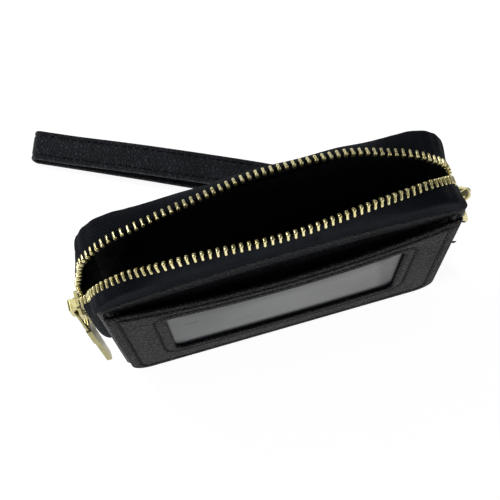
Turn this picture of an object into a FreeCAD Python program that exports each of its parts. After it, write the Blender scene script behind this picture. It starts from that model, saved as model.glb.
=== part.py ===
"""Wristlet wallet: a zip-around card wallet standing open on its bottom edge.

Units are millimetres.  The origin is at the middle of the bottom, on the mid-plane of the zip.
+X runs along the wallet towards the ring for the wrist strap, -Y is the side with the window
pocket, and +Z is up.  Both walls lean outwards a little, because the mouth is open.
"""
import FreeCAD, Part
import math
import os

Vec = FreeCAD.Vector
X_AXIS, Y_AXIS, Z_AXIS = Vec(1, 0, 0), Vec(0, 1, 0), Vec(0, 0, 1)

# ---- driving dimensions: the body -------------------------------------------------------
LENGTH = 124.0              # front and back panel, along X
HEIGHT = 88.0               # front and back panel, along the wall
TOP_RADIUS = 14.5           # panel corners that the zip runs round
BASE_RADIUS = 8.5           # panel corners at the bottom
SEAM_HALF = 6.8             # from the zip's mid-plane to a panel's inner face, at the bottom
LEAN_DEG = 4.0              # how far each wall leans outwards
LEATHER = 1.2               # panel leather
LEATHER_TOP = 80.0          # the leather ends here, and a woven band takes its place up to the zip
BOARD = 0.6                 # stiffener board
LINING = 0.3                # lining cloth
PLY_GAP = 0.05              # between cloth and what it lies on
HEM = 8.0                   # panel edge that is turned in, clear of the board
LINING_INSET = 2.5          # lining edge, in from the panel's edge

# ---- driving dimensions: the window pocket ------------------------------------------------
POCKET_LENGTH = 121.0
POCKET_HEIGHT = 75.0
POCKET_BOW = 3.6            # how far the pocket's mouth gapes at mid-length
POCKET_GAP = 0.15           # between the pocket's plies where it is sewn down
WINDOW_LENGTH = 84.0
WINDOW_HEIGHT = 44.0
WINDOW_BASE = 17.5          # height of the window's lower edge
WINDOW_RADIUS = 3.5
WINDOW_LAP = 4.5            # how far the clear sheet passes under the leather
CLEAR_SHEET = 0.4
POCKET_SEAM = 3.7           # stitches, in from the pocket's edge
POCKET_SEAM_CORNER = 8.0    # the seam's straight runs stop this far from the corner
POCKET_SEAM_TOP = 1.5       # its upper ends, below the pocket's mouth
WINDOW_SEAM = 4.2           # stitches, out from the window's edge
POCKET_STACK = LEATHER + CLEAR_SHEET + POCKET_GAP + LINING + POCKET_GAP

# ---- driving dimensions: gusset and inner pocket ------------------------------------------
GUSSET_INSET = 0.8          # gusset face, in from the panel's side edge
GUSSET_LEFT_TOP = 41.5      # the gusset ends here and the zip begins
GUSSET_RIGHT_TOP = 63.0
LINING_RIGHT_TOP = 77.0     # the gusset's lining goes on up inside the zip at this end
INNER_POCKET_LENGTH = 104.0
INNER_POCKET_HEIGHT = 52.0

# ---- driving dimensions: the zip ----------------------------------------------------------
ZIP_LEFT_START = 42.0       # height at which the zip begins on the left side
ZIP_RIGHT_END = 64.0        # height at which its tapes end on the right side
TAPE_THICKNESS = 0.6
TOOTH_PITCH = 2.4
TOOTH_WIDTH = 1.05
TOOTH_TIP = 0.55            # tooth tip beyond the row's line
TOOTH_BACK = 2.35           # tooth end behind the row's line
TOOTH_HALF = 1.15           # half of a tooth's thickness
TAPE_EDGE = 0.8             # tape edge behind the row's line, held in the tooth's jaws
# Along the panel edge from the zip's start: distance, half opening of the mouth, rise of the row
FRONT_ROW = [(0, 0, 5), (4, 0, 5), (7, 1.1, 5), (20.5, 1.4, 4.9), (27, 2.9, 1.7), (33, 4.8, 0.6),
             (39, 6.4, 0.4), (46, 7.6, 1.0), (54, 9.0, 4.4), (64, 11.6, 9.0), (78, 12.9, 11.2),
             (102, 14.2, 11), (126, 11.9, 10.3), (146, 8.0, 5.4), (158, 4.6, 0.4), (169, 1.7, -0.5),
             (182, 1.1, -0.4)]
BACK_ROW = [(0, 0, 5), (4, 0, 5), (7, 1.1, 5), (25, 1.3, 4.8), (34, 2.0, 2.4), (44, 2.4, 2.6),
            (56, 3.4, 4.6), (78, 5.9, 7.8), (102, 8.2, 9.6), (126, 7.8, 8.4), (146, 4.6, 3.4),
            (158, 2.0, -0.2), (169, 1.2, -0.5), (182, 1.1, -0.4)]
ROW_RISE_CLOSED = 5.0       # rise of both rows where they are closed, on the left side
FIRST_TOOTH = 3.6           # along the panel edge from the zip's start
LAST_TOOTH = 178.0
STOP_HALF = 2.4             # half width of the bottom stop, across both tapes
STOP_LENGTH = 2.2           # each stop, along the tape
TAPE_STATIONS = 56
TAPE_ACROSS = 5

# ---- driving dimensions: slider and pull --------------------------------------------------
SLIDER_Z = 56.0
SLIDER_LENGTH = 10.0
SLIDER_HALF_WIDTH = 4.5
SLIDER_PLATE = 1.0
SLIDER_CLEAR = 0.3          # between the teeth and the plates
FLANGE_INNER = 3.8
FLANGE_DEPTH = 0.75
NECK_HALF = 0.45            # half thickness of the neck that parts the rows
BRIDGE_HALF = 2.2           # the bridge is a rounded block over the slider's lower half
BRIDGE_LOW, BRIDGE_HIGH = 0.9, 6.6       # its ends, above the slider's tail
BRIDGE_OPENING = 1.85
BRIDGE_WALL = 1.5
BRIDGE_ROUND = 1.0
LINK_WIRE = 0.6             # radius
LINK_LENGTH = 12.0
LINK_HALF = 3.2
PULL_LENGTH = 33.0
PULL_HEAD = 13.0            # length of the pull's wide head
PULL_TOP_HALF = 3.4
PULL_NECK_HALF = 2.5
PULL_TIP_HALF = 1.9
PULL_THICKNESS = 1.8
PULL_BARREL = 1.15          # radius
PULL_TILT_FORWARD = 6.4     # degrees, towards the front
PULL_TILT_IN = 3.6          # degrees, towards the wallet

# ---- driving dimensions: ring and tab -----------------------------------------------------
RING_WIRE = 1.0             # radius
RING_HALF = 6.5             # centre line, half width and arc radius
RING_LEG = 4.0
RING_X, RING_Z = 66.3, 56.0  # centre of the ring's bar
RING_TILT = 20.0            # degrees outwards from hanging straight down
TAB_HALF = 4.6
TAB_LEATHER = 1.2
TAB_FOOT_LEATHER = 1.4      # the tab's sewn foot, two plies pressed flat
TAB_RISE, TAB_DROP = 4.5, 9.0   # the foot's upper and lower end, from the ring's bar
PIN_CLEAR = 0.1             # running clearance of wire and pins

# ---- driving dimensions: clasp and swivel -------------------------------------------------
CLASP_ON_RING = 52.8        # degrees round the ring's arc
CLASP_AXIS = Vec(-0.271, 0.511, -0.814)  # from the hook towards the strap
HOOK_INNER = 3.4
HOOK_OUTER = 6.0
CLASP_HALF = 2.0            # half thickness
CLASP_SLOT = 1.2
CLASP_BODY_TOP, CLASP_BODY_END = 3.0, 14.0      # the block between hook and barrel
CLASP_BODY_LEFT, CLASP_BODY_RIGHT = -4.0, 5.6
CLASP_NECK_HALF = 3.2       # half width of the neck above the barrel
HOOK_MOUTH_LEFT = -2.2      # the hook is open from here to the gate's side
HOOK_MOUTH_TOP, HOOK_MOUTH_END = -2.6, 7.6
HOOK_TIP_LEFT = 1.0         # the hook's tip reaches back to here, under the gate
SLOT_LEFT, SLOT_END = 1.6, 12.6                 # the slot for the gate and its spring
GATE_HALF = 1.05
GATE_LEFT, GATE_RIGHT, GATE_TIP = 3.9, 5.7, -2.3
GATE_PIVOT = Vec(4.0, 0, 10.5)
GATE_PIN = 0.55             # radius
GATE_ROLL = 1.6             # radius of the gate's rolled end round its pin
THUMB_REACH, THUMB_TOP, THUMB_END = 1.3, 3.2, 6.2
SPRING_LEFT, SPRING_LEAF, SPRING_HALF = 1.75, 0.25, 0.8
SPRING_TOP, SPRING_END = 8.6, 12.5
BARREL_TOP, BARREL_END, BARREL_RADIUS = 18.0, 22.5, 2.7
POST_RADIUS = 1.25
POST_HEAD, POST_HEAD_TOP, POST_HEAD_END = 1.95, 0.8, 2.2   # the post's head, inside the barrel
HEAD_ROOM, HEAD_CLEAR = 2.1, 0.2                # the room the head turns in
EYE_WIRE = 1.15             # radius
EYE_TOP, EYE_BAR = 25.5, 32.5
EYE_HALF = 8.15

# ---- driving dimensions: wrist strap ------------------------------------------------------
STRAP_WIDTH = 13.4
STRAP_THICKNESS = 1.9
STRAP_LATERAL = Vec(0.455, 0.89, 0)      # across the strap where it lies flat
STRAP_SPINE = [Vec(54, 29.0, 11.5), Vec(43, 34.5, 5.2), Vec(22, 45.5, 4.3), Vec(-8, 61, 4.9),
               Vec(-42, 78.5, 4.5), Vec(-66, 91, 3.4), Vec(-77.5, 97, 3.1)]
STRAP_STATIONS = 44
FAR_FOLD = 1.9              # centre-line radius of the far fold
EYE_FOLD = 2.35             # centre-line radius of the fold round the eye's bar
STRAP_GAPS = [(0, 2.35), (9, 1.15), (18, 1.15), (40, 2.4), (85, 3.3), (125, 2.6), (152, 1.9), (200, 1.9)]
KEEPER_AT, KEEPER_LENGTH, KEEPER_LEATHER = 13.5, 8.0, 1.0

# ---- driving dimensions: stitches ---------------------------------------------------------
STITCH_PITCH = 3.2
STITCH = Vec(2.3, 0.5, 0.25)             # length, width, height above the leather


# ---- small helpers ------------------------------------------------------------------------
def box(x0, x1, y0, y1, z0, z1):
    """A box from its lowest to its highest corner."""
    return Part.makeBox(x1 - x0, y1 - y0, z1 - z0, Vec(x0, y0, z0))


def rod(radius, start, end):
    """A round bar between two points."""
    return Part.makeCylinder(radius, (end - start).Length, start, end - start)


def unit(vector):
    """The same direction, with length 1."""
    return Vec(vector).normalize()


def across(vector, direction):
    """The part of a vector that is square to a unit direction, with length 1."""
    return unit(vector - direction * vector.dot(direction))


def in_frame(shape, origin, x_dir, z_dir):
    """A shape moved from its own axes to those of a frame in space."""
    rotation = FreeCAD.Rotation(x_dir, z_dir.cross(x_dir), z_dir, "ZXY")
    moved = shape.copy()
    moved.Placement = FreeCAD.Placement(origin, rotation).multiply(moved.Placement)
    return moved


def hermite(stations, at, column):
    """A smooth value between stations, with no overshoot."""
    places = [row[0] for row in stations]
    values = [row[column] for row in stations]
    at = min(max(at, places[0]), places[-1])
    k = max(i for i in range(len(places) - 1) if places[i] <= at)
    secants = [(b - a) / (q - p) for a, b, p, q in zip(values, values[1:], places, places[1:])]

    def slope(i):
        if i == 0 or i == len(secants) or secants[i - 1] * secants[i] <= 0:
            return 0.0
        return 2 * secants[i - 1] * secants[i] / (secants[i - 1] + secants[i])

    span = places[k + 1] - places[k]
    t = (at - places[k]) / span
    return ((2 * t ** 3 - 3 * t ** 2 + 1) * values[k] + (t ** 3 - 2 * t ** 2 + t) * span * slope(k)
            + (3 * t ** 2 - 2 * t ** 3) * values[k + 1] + (t ** 3 - t ** 2) * span * slope(k + 1))


def sheet_between(lower, upper):
    """A closed solid between two grids of points, as a thick curved sheet."""
    faces, edges = [], []
    for grid in (lower, upper):
        surface = Part.BSplineSurface()
        surface.interpolate(grid)
        u0, u1, v0, v1 = surface.bounds()
        faces.append(surface.toShape())
        edges.append([surface.uIso(u0).toShape(), surface.uIso(u1).toShape(),
                      surface.vIso(v0).toShape(), surface.vIso(v1).toShape()])
    for low_edge, high_edge in zip(*edges):
        faces.append(Part.makeRuledSurface(low_edge, high_edge))
    shell = Part.Compound(faces)
    shell.sewShape(0.001)
    solid = Part.Solid(shell.Shells[0])
    if solid.Volume < 0:
        solid.reverse()
    return solid


def thick_sheet(grid, thickness):
    """A grid of points, thickened to both sides."""
    def neighbour(i, j):
        return grid[min(max(i, 0), len(grid) - 1)][min(max(j, 0), len(grid[0]) - 1)]

    lower, upper = [], []
    for i, row in enumerate(grid):
        normals = []
        for j in range(len(row)):
            along = neighbour(i + 1, j) - neighbour(i - 1, j)
            over = neighbour(i, j + 1) - neighbour(i, j - 1)
            normals.append(unit(along.cross(over)))
        lower.append([p - n * (thickness / 2) for p, n in zip(row, normals)])
        upper.append([p + n * (thickness / 2) for p, n in zip(row, normals)])
    return sheet_between(lower, upper)


def stitch(middle, along, outward):
    """One stitch lying on a surface."""
    length, width, height = STITCH
    bar = box(-length / 2, length / 2, -width / 2, width / 2, 0, height)
    return in_frame(bar, middle, across(along, unit(outward)), unit(outward))


def save(name, shape):
    """Write one node."""
    shape.exportStep("parts/%s.step" % name)


# ---- outlines in a wall's own plane: x along the wallet, z up the wall ---------------------
def outline_face(half, low, high, base_radius, top_radius):
    """A rectangle with rounded corners in the XZ plane, as a face."""
    corners = [(-half, low, base_radius), (half, low, base_radius),
               (half, high, top_radius), (-half, high, top_radius)]
    inward = [(1, 1), (-1, 1), (-1, -1), (1, -1)]
    edges, ends = [], []
    for index, ((x, z, radius), (sx, sz)) in enumerate(zip(corners, inward)):
        side, flat = Vec(x, 0, z + sz * radius), Vec(x + sx * radius, 0, z)
        bend = radius * (1 - math.sqrt(0.5))
        middle = Vec(x + sx * bend, 0, z + sz * bend)
        first, last = (side, flat) if index % 2 == 0 else (flat, side)
        edges.append(Part.Arc(first, middle, last).toShape())
        ends.append((first, last))
    for k in range(4):
        edges.append(Part.LineSegment(ends[k][1], ends[(k + 1) % 4][0]).toShape())
    return Part.Face(Part.Wire(Part.__sortEdges__(edges)))


def plate(half, low, high, base_radius, top_radius, depth0, depth1):
    """A flat ply of a wall, between two depths from the wall's outer face."""
    face = outline_face(half, low, high, base_radius, top_radius)
    solid = face.extrude(Vec(0, depth1 - depth0, 0))
    solid.translate(Vec(0, depth0, 0))
    return solid


# ---- the two leaning walls ----------------------------------------------------------------
FRONT_FACE = -(SEAM_HALF + LEATHER + POCKET_STACK)   # outer face of the window pocket, at the bottom
BACK_FACE = SEAM_HALF + LEATHER


def front_wall(shape):
    """From the front wall's own axes (depth along +Y) to where the wall leans."""
    moved = shape.copy()
    moved.rotate(Vec(0, 0, 0), X_AXIS, LEAN_DEG)
    moved.translate(Vec(0, FRONT_FACE, 0))
    return moved


def back_wall(shape):
    """From the back wall's own axes (depth along +Y, then mirrored) to where it leans."""
    moved = shape.mirror(Vec(0, 0, 0), Y_AXIS)
    moved.rotate(Vec(0, 0, 0), X_AXIS, -LEAN_DEG)
    moved.translate(Vec(0, BACK_FACE, 0))
    return moved


def wall_point(side, x, depth, height, panel_depth):
    """A point in a wall: side is -1 in front and 1 at the back."""
    lean = math.radians(LEAN_DEG)
    face = -FRONT_FACE if side < 0 else BACK_FACE
    inward = depth + panel_depth
    y = face - inward * math.cos(lean) + height * math.sin(lean)
    return Vec(x, side * y, inward * math.sin(lean) + height * math.cos(lean))


PANEL_DEPTH = {-1: POCKET_STACK, 1: 0.0}   # depth of a leather panel's outer face in its wall


def panel_plies():
    """Leather panel, woven band above it, board and lining of both walls."""
    half = LENGTH / 2
    for name, place, outer in (("front", front_wall, PANEL_DEPTH[-1]), ("back", back_wall, PANEL_DEPTH[1])):
        board = outer + LEATHER
        lining = board + BOARD + PLY_GAP
        face = plate(half, 0, HEIGHT, BASE_RADIUS, TOP_RADIUS, outer, board)
        above = box(-half, half, outer - 1, board + 1, LEATHER_TOP, HEIGHT + 1)
        save(name + "_panel", place(face.cut(above)))
        save("zip_band_" + name, place(face.common(above)))
        save(name + "_stiffener", place(plate(half - HEM, HEM, HEIGHT - HEM, BASE_RADIUS / 2,
                                              TOP_RADIUS - HEM, board, board + BOARD)))
        save("lining_" + name, place(plate(half - LINING_INSET, LINING_INSET, HEIGHT - LINING_INSET,
                                           BASE_RADIUS - LINING_INSET, TOP_RADIUS - LINING_INSET,
                                           lining, lining + LINING)))


def inner_pocket():
    """The flat pocket sewn to the back lining."""
    depth = LEATHER + BOARD + PLY_GAP + LINING + POCKET_GAP
    half = INNER_POCKET_LENGTH / 2
    low = LINING_INSET + HEM
    sheet = plate(half, low, low + INNER_POCKET_HEIGHT, 4.0, 1.0, depth, depth + LINING)
    save("lining_pocket", back_wall(sheet))


def gusset_strip(inset, thickness, depth_gap, left_top, right_top):
    """A U-shaped strip between the walls: up both sides and along the bottom."""
    half, low = LENGTH / 2 - GUSSET_INSET - inset, inset
    radius = BASE_RADIUS - GUSSET_INSET - inset
    outer = plate(half, low, HEIGHT * 2, radius, 1.0, -30, 30)
    inner = plate(half - thickness, low + thickness, HEIGHT * 3, radius - thickness, 1.0, -31, 31)
    strip = outer.cut(inner)
    strip = strip.cut(box(-LENGTH, 0, -40, 40, left_top, HEIGHT * 4))
    strip = strip.cut(box(0, LENGTH, -40, 40, right_top, HEIGHT * 4))
    for place, outer_face in ((front_wall, PANEL_DEPTH[-1]), (back_wall, PANEL_DEPTH[1])):
        strip = strip.cut(place(box(-LENGTH, LENGTH, -40, outer_face + LEATHER + depth_gap, -40, HEIGHT * 4)))
    return strip


def gusset():
    """The leather gusset and its lining."""
    save("gusset", gusset_strip(0, LEATHER, 0, GUSSET_LEFT_TOP, GUSSET_RIGHT_TOP))
    behind_lining = BOARD + PLY_GAP + LINING + PLY_GAP
    save("lining_gusset", gusset_strip(LEATHER + PLY_GAP, LINING, behind_lining,
                                       GUSSET_LEFT_TOP, LINING_RIGHT_TOP))


# ---- the window pocket --------------------------------------------------------------------
def bow(x, z):
    """How far the pocket stands away from the wall."""
    return POCKET_BOW * (1 - (2 * x / POCKET_LENGTH) ** 2) * z / POCKET_HEIGHT


def bowed(face, depth0, depth1):
    """A ply of the pocket: a flat outline that follows the pocket's bow."""
    xs = [POCKET_LENGTH * (k / 8 - 0.5) * 1.1 for k in range(9)]
    zs = [POCKET_HEIGHT * share for share in (-0.1, 0.3, 0.7, 1.1)]

    def grid(depth):
        return [[Vec(x, depth - bow(x, z), z) for z in zs] for x in xs]

    slab = sheet_between(grid(depth0), grid(depth1))
    prism = face.extrude(Vec(0, 30, 0))
    prism.translate(Vec(0, -15, 0))
    return slab.common(prism)


def pocket():
    """Leather with the window cut out, the clear sheet and the cloth behind it."""
    half = POCKET_LENGTH / 2
    panel = outline_face(half, 0, POCKET_HEIGHT, BASE_RADIUS - 1, 1.0)
    window_top = WINDOW_BASE + WINDOW_HEIGHT
    window = outline_face(WINDOW_LENGTH / 2, WINDOW_BASE, window_top, WINDOW_RADIUS, WINDOW_RADIUS)
    lap = WINDOW_LAP
    clear = outline_face(WINDOW_LENGTH / 2 + lap, WINDOW_BASE - lap, window_top + lap, 1.0, 1.0)
    cloth = outline_face(half - LINING_INSET, LINING_INSET, POCKET_HEIGHT - LINING_INSET,
                         BASE_RADIUS - LINING_INSET, 1.0)
    opening = window.extrude(Vec(0, 40, 0))
    opening.translate(Vec(0, -20, 0))
    save("id_panel", front_wall(bowed(panel, 0, LEATHER).cut(opening)))
    save("id_window", front_wall(bowed(clear, LEATHER, LEATHER + CLEAR_SHEET)))
    depth = LEATHER + CLEAR_SHEET + POCKET_GAP
    save("id_slot_lining", front_wall(bowed(cloth, depth, depth + LINING)))


def pocket_stitch(x, z, along):
    """A stitch on the pocket's leather at a place in its outline."""
    step = 0.1
    side = Vec(2 * step, bow(x - step, z) - bow(x + step, z), 0)
    up = Vec(0, bow(x, z - step) - bow(x, z + step), 2 * step)
    normal = unit(side.cross(up))
    return front_wall(stitch(Vec(x, -bow(x, z), z), across(along, normal), normal))


def along_line(start, end):
    """Places of the stitches on a straight seam, and its direction."""
    run = end - start
    count = max(1, int(run.Length / STITCH_PITCH))
    return [(start + run * ((k + 0.5) / count), run) for k in range(count)]


def pocket_stitching():
    """Stitches round the pocket's three sewn edges and round the window."""
    corner, low, high = POCKET_SEAM_CORNER, POCKET_SEAM, POCKET_HEIGHT - POCKET_SEAM_TOP
    x = POCKET_LENGTH / 2 - POCKET_SEAM
    seam = along_line(Vec(-x, 0, high), Vec(-x, 0, low + corner))
    seam += along_line(Vec(-x + corner, 0, low), Vec(x - corner, 0, low))
    seam += along_line(Vec(x, 0, low + corner), Vec(x, 0, high))
    save("id_panel_stitching", Part.Compound([pocket_stitch(p.x, p.z, run) for p, run in seam]))
    x = WINDOW_LENGTH / 2 + WINDOW_SEAM
    low, high = WINDOW_BASE - WINDOW_SEAM, WINDOW_BASE + WINDOW_HEIGHT + WINDOW_SEAM
    corners = [Vec(-x, 0, low), Vec(x, 0, low), Vec(x, 0, high), Vec(-x, 0, high)]
    seam = []
    for k in range(4):
        start, end = corners[k], corners[(k + 1) % 4]
        step = unit(end - start) * STITCH_PITCH / 2
        seam += along_line(start + step, end - step)
    save("window_stitching", Part.Compound([pocket_stitch(p.x, p.z, run) for p, run in seam]))


# ---- the zip ------------------------------------------------------------------------------
SIDE_RUN = HEIGHT - TOP_RADIUS - ZIP_LEFT_START
CORNER_RUN = math.pi / 2 * TOP_RADIUS
TOP_RUN = LENGTH - 2 * TOP_RADIUS


def panel_edge(s):
    """Place on the panel's edge and outward direction, at a distance along it from the zip's start."""
    half = LENGTH / 2
    if s <= SIDE_RUN:
        return Vec(-half, 0, ZIP_LEFT_START + s), Vec(-1, 0, 0)
    s -= SIDE_RUN
    if s <= CORNER_RUN:
        turn = s / TOP_RADIUS
        outward = Vec(-math.cos(turn), 0, math.sin(turn))
        return Vec(TOP_RADIUS - half, 0, HEIGHT - TOP_RADIUS) + outward * TOP_RADIUS, outward
    s -= CORNER_RUN
    if s <= TOP_RUN:
        return Vec(TOP_RADIUS - half + s, 0, HEIGHT), Vec(0, 0, 1)
    s -= TOP_RUN
    if s <= CORNER_RUN:
        turn = s / TOP_RADIUS
        outward = Vec(math.sin(turn), 0, math.cos(turn))
        return Vec(half - TOP_RADIUS, 0, HEIGHT - TOP_RADIUS) + outward * TOP_RADIUS, outward
    return Vec(half, 0, HEIGHT - TOP_RADIUS - (s - CORNER_RUN)), Vec(1, 0, 0)


ZIP_LENGTH = SIDE_RUN + 2 * CORNER_RUN + TOP_RUN + HEIGHT - TOP_RADIUS - ZIP_RIGHT_END


class Row:
    """One side of the zip: side is -1 in front and 1 at the back."""

    def __init__(self, side, stations):
        self.side = side
        self.stations = stations

    def line(self, s):
        """A place on the row's line."""
        place, outward = panel_edge(s)
        point = place + outward * hermite(self.stations, s, 2)
        return Vec(point.x, self.side * hermite(self.stations, s, 1), point.z)

    def seam(self, s):
        """Where the tape leaves the wall, just inside the leather panel."""
        place, outward = panel_edge(s)
        place = place + outward * PLY_GAP
        depth = LEATHER + TAPE_THICKNESS / 2 + PLY_GAP
        return wall_point(self.side, place.x, depth, place.z, PANEL_DEPTH[self.side])

    def frame(self, s):
        """Place, direction along the row, and direction across it from tape to tip."""
        step = 0.05
        place = self.line(s)
        along = unit(self.line(s + step) - self.line(s - step))
        closed = Vec(0, -self.side, 0)
        opened = unit(place - self.seam(s))
        spread = hermite(self.stations, s, 1)
        share = min(1.0, max(0.0, (spread - 1.3) / 5.0))
        return place, along, across(closed * (1 - share) + opened * share, along)

    def tape_section(self, s):
        """Points across the tape, from the wall to the teeth."""
        place, _, over = self.frame(s)
        seam, outward = self.seam(s), panel_edge(s)[1]
        edge = place - over * TAPE_EDGE
        reach = (edge - seam).Length
        poles = [seam, seam + outward * (0.25 * reach), edge - over * (0.42 * reach), edge]
        curve = Part.BezierCurve()
        curve.setPoles(poles)
        return [curve.value(k / (TAPE_ACROSS - 1)) for k in range(TAPE_ACROSS)]

    def tape(self):
        """The woven tape, as one curved sheet."""
        grid = [self.tape_section(ZIP_LENGTH * k / (TAPE_STATIONS - 1)) for k in range(TAPE_STATIONS)]
        return thick_sheet(grid, TAPE_THICKNESS)

    def tooth(self, s):
        """One metal tooth: a head, and two jaws that hold the tape's edge."""
        place, along, over = self.frame(s)
        jaw = TAPE_THICKNESS / 2 + PLY_GAP
        half, back, tip = TOOTH_HALF, -TOOTH_BACK, TOOTH_TIP
        profile = [(back, jaw), (back, half * 0.85), (0, half), (tip, half * 0.6), (tip, -half * 0.6),
                   (0, -half), (back, -half * 0.85), (back, -jaw), (-TAPE_EDGE + PLY_GAP, -jaw),
                   (-TAPE_EDGE + PLY_GAP, jaw)]
        points = [Vec(p, -TOOTH_WIDTH / 2, q) for p, q in profile]
        face = Part.Face(Part.makePolygon(points + points[:1]))
        return in_frame(face.extrude(Vec(0, TOOTH_WIDTH, 0)), place, over, over.cross(along))

    def teeth(self, offset):
        """Teeth at even distances along the row's own line."""
        found, travelled, step = [], 0.0, 0.02
        s, previous, due = FIRST_TOOTH, self.line(FIRST_TOOTH), offset
        while s < LAST_TOOTH:
            here = self.line(s)
            travelled += (here - previous).Length
            previous = here
            if travelled >= due:
                found.append(self.tooth(s))
                due += TOOTH_PITCH
            s += step
        return found


FRONT = Row(-1, FRONT_ROW)
BACK = Row(1, BACK_ROW)
ROW_X = -(LENGTH / 2 + ROW_RISE_CLOSED)      # both rows' line, where the slider runs


def zip_rows():
    """Both tapes, both rows of teeth, and the stops at the ends."""
    save("zip_tape_front", FRONT.tape())
    save("zip_tape_back", BACK.tape())
    save("zip_teeth_front", Part.Compound(FRONT.teeth(0)))
    save("zip_teeth_back", Part.Compound(BACK.teeth(TOOTH_PITCH / 2)))
    base = ZIP_LEFT_START + 0.4
    jaw = TAPE_THICKNESS / 2 + PLY_GAP
    stop = box(ROW_X - TOOTH_HALF, ROW_X + TOOTH_HALF, -STOP_HALF, STOP_HALF, base, base + STOP_LENGTH)
    for side in (-1, 1):
        inner, outer = sorted((side * TAPE_EDGE * 0.9, side * 3))
        stop = stop.cut(box(ROW_X - jaw, ROW_X + jaw, inner, outer, base - 1, base + 4))
    save("zip_bottom_stop", stop)
    ends = []
    for row in (FRONT, BACK):
        place, along, over = row.frame(LAST_TOOTH + 1.8)
        block = box(0.2 - STOP_HALF, 0.4, -STOP_LENGTH / 2, STOP_LENGTH / 2, -TOOTH_HALF, TOOTH_HALF)
        block = block.cut(box(-3, -TAPE_EDGE + PLY_GAP, -2, 2, -jaw, jaw))
        ends.append(in_frame(block, place, over, over.cross(along)))
    save("zip_top_stops", Part.Compound(ends))


# ---- slider and pull ----------------------------------------------------------------------
PLATE_OUT = ROW_X - TOOTH_HALF - SLIDER_CLEAR     # inner face of the outer plate
PLATE_IN = ROW_X + TOOTH_HALF + SLIDER_CLEAR
SLIDER_FACE = PLATE_OUT - SLIDER_PLATE
LINK_PIVOT = Vec(SLIDER_FACE - BRIDGE_OPENING * 0.57, 0, SLIDER_Z - 1.4)


def slider_plate(x0, x1):
    """A flat plate with a rounded heart shape: wide at the mouth, narrower at the tail."""
    low, high = SLIDER_Z - SLIDER_LENGTH / 2, SLIDER_Z + SLIDER_LENGTH / 2
    wide, narrow = SLIDER_HALF_WIDTH, SLIDER_HALF_WIDTH - 0.4
    points = [Vec(x0, -narrow, low), Vec(x0, narrow, low), Vec(x0, wide, high - 3), Vec(x0, wide - 1.4, high),
              Vec(x0, 1.4 - wide, high), Vec(x0, -wide, high - 3)]
    solid = Part.Face(Part.makePolygon(points + points[:1])).extrude(Vec(x1 - x0, 0, 0))
    upright = [edge for edge in solid.Edges if abs(edge.Vertexes[0].X - edge.Vertexes[-1].X) > 0.5]
    return solid.makeFillet(0.7, upright)


def slider():
    """Two plates joined by the neck, with flanges that guide the rows, and the bridge."""
    low, high = SLIDER_Z - SLIDER_LENGTH / 2, SLIDER_Z + SLIDER_LENGTH / 2
    body = slider_plate(SLIDER_FACE, PLATE_OUT).fuse(slider_plate(PLATE_IN, PLATE_IN + SLIDER_PLATE))
    body = body.fuse(box(PLATE_OUT, PLATE_IN, -NECK_HALF, NECK_HALF, high - 2.7, high))
    for side in (-1, 1):
        inner, outer = sorted((side * FLANGE_INNER, side * (SLIDER_HALF_WIDTH - 0.4)))
        body = body.fuse(box(PLATE_OUT, PLATE_OUT + FLANGE_DEPTH, inner, outer, low + 0.6, SLIDER_Z))
    save("slider_body", body.removeSplitter())
    top = SLIDER_FACE - BRIDGE_OPENING - BRIDGE_WALL
    bridge = box(top, SLIDER_FACE, -BRIDGE_HALF, BRIDGE_HALF, low + BRIDGE_LOW, low + BRIDGE_HIGH)
    outer_edges = [edge for edge in bridge.Edges if abs(edge.CenterOfMass.x - top) < 0.01]
    bridge = bridge.makeFillet(BRIDGE_ROUND, outer_edges)
    bridge = bridge.cut(box(SLIDER_FACE - BRIDGE_OPENING, SLIDER_FACE + 1, -3, 3,
                            low + BRIDGE_LOW + 1.2, low + BRIDGE_HIGH - 1.2))
    save("slider_bridge", bridge)


def hang(shape):
    """From the pull's own axes, with the pivot at the origin and the pull straight down, to its place."""
    moved = shape.copy()
    moved.rotate(Vec(0, 0, 0), Y_AXIS, -PULL_TILT_IN)
    moved.rotate(Vec(0, 0, 0), X_AXIS, -PULL_TILT_FORWARD)
    moved.translate(LINK_PIVOT)
    return moved


def pull():
    """The link that hangs from the bridge, and the tapered pull below it."""
    wire = LINK_WIRE
    corners = [Vec(0, -LINK_HALF, 0), Vec(0, LINK_HALF, 0), Vec(0, LINK_HALF, -LINK_LENGTH),
               Vec(0, -LINK_HALF, -LINK_LENGTH)]
    link = Part.makeSphere(wire, corners[0])
    for k, corner in enumerate(corners):
        link = link.fuse([rod(wire, corner, corners[(k + 1) % 4]), Part.makeSphere(wire, corner)])
    save("pull_link", hang(link.removeSplitter()))
    top, tip, neck_end = -LINK_LENGTH - 2.2, -LINK_LENGTH - PULL_LENGTH, -LINK_LENGTH - PULL_HEAD
    lug = LINK_HALF - wire - 0.35
    half = PULL_THICKNESS / 2
    outline = [(lug, 1 - LINK_LENGTH), (lug, top + 0.8), (PULL_TOP_HALF, top), (PULL_TOP_HALF, neck_end + 1),
               (PULL_NECK_HALF, neck_end), (PULL_TIP_HALF, tip)]
    points = [Vec(-half, y, z) for y, z in outline] + [Vec(-half, -y, z) for y, z in reversed(outline)]
    tab = Part.Face(Part.makePolygon(points + points[:1])).extrude(Vec(PULL_THICKNESS, 0, 0))
    end = [edge for edge in tab.Edges if abs(edge.CenterOfMass.z - tip) < 0.01 and edge.Length < 2]
    tab = tab.makeFillet(PULL_TIP_HALF * 0.9, end)
    tab = tab.fuse(rod(PULL_BARREL, Vec(0, -lug, -LINK_LENGTH), Vec(0, lug, -LINK_LENGTH)))
    tab = tab.cut(rod(wire + PIN_CLEAR, Vec(0, -9, -LINK_LENGTH), Vec(0, 9, -LINK_LENGTH)))
    save("pull_tab", hang(tab.removeSplitter()))


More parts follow.
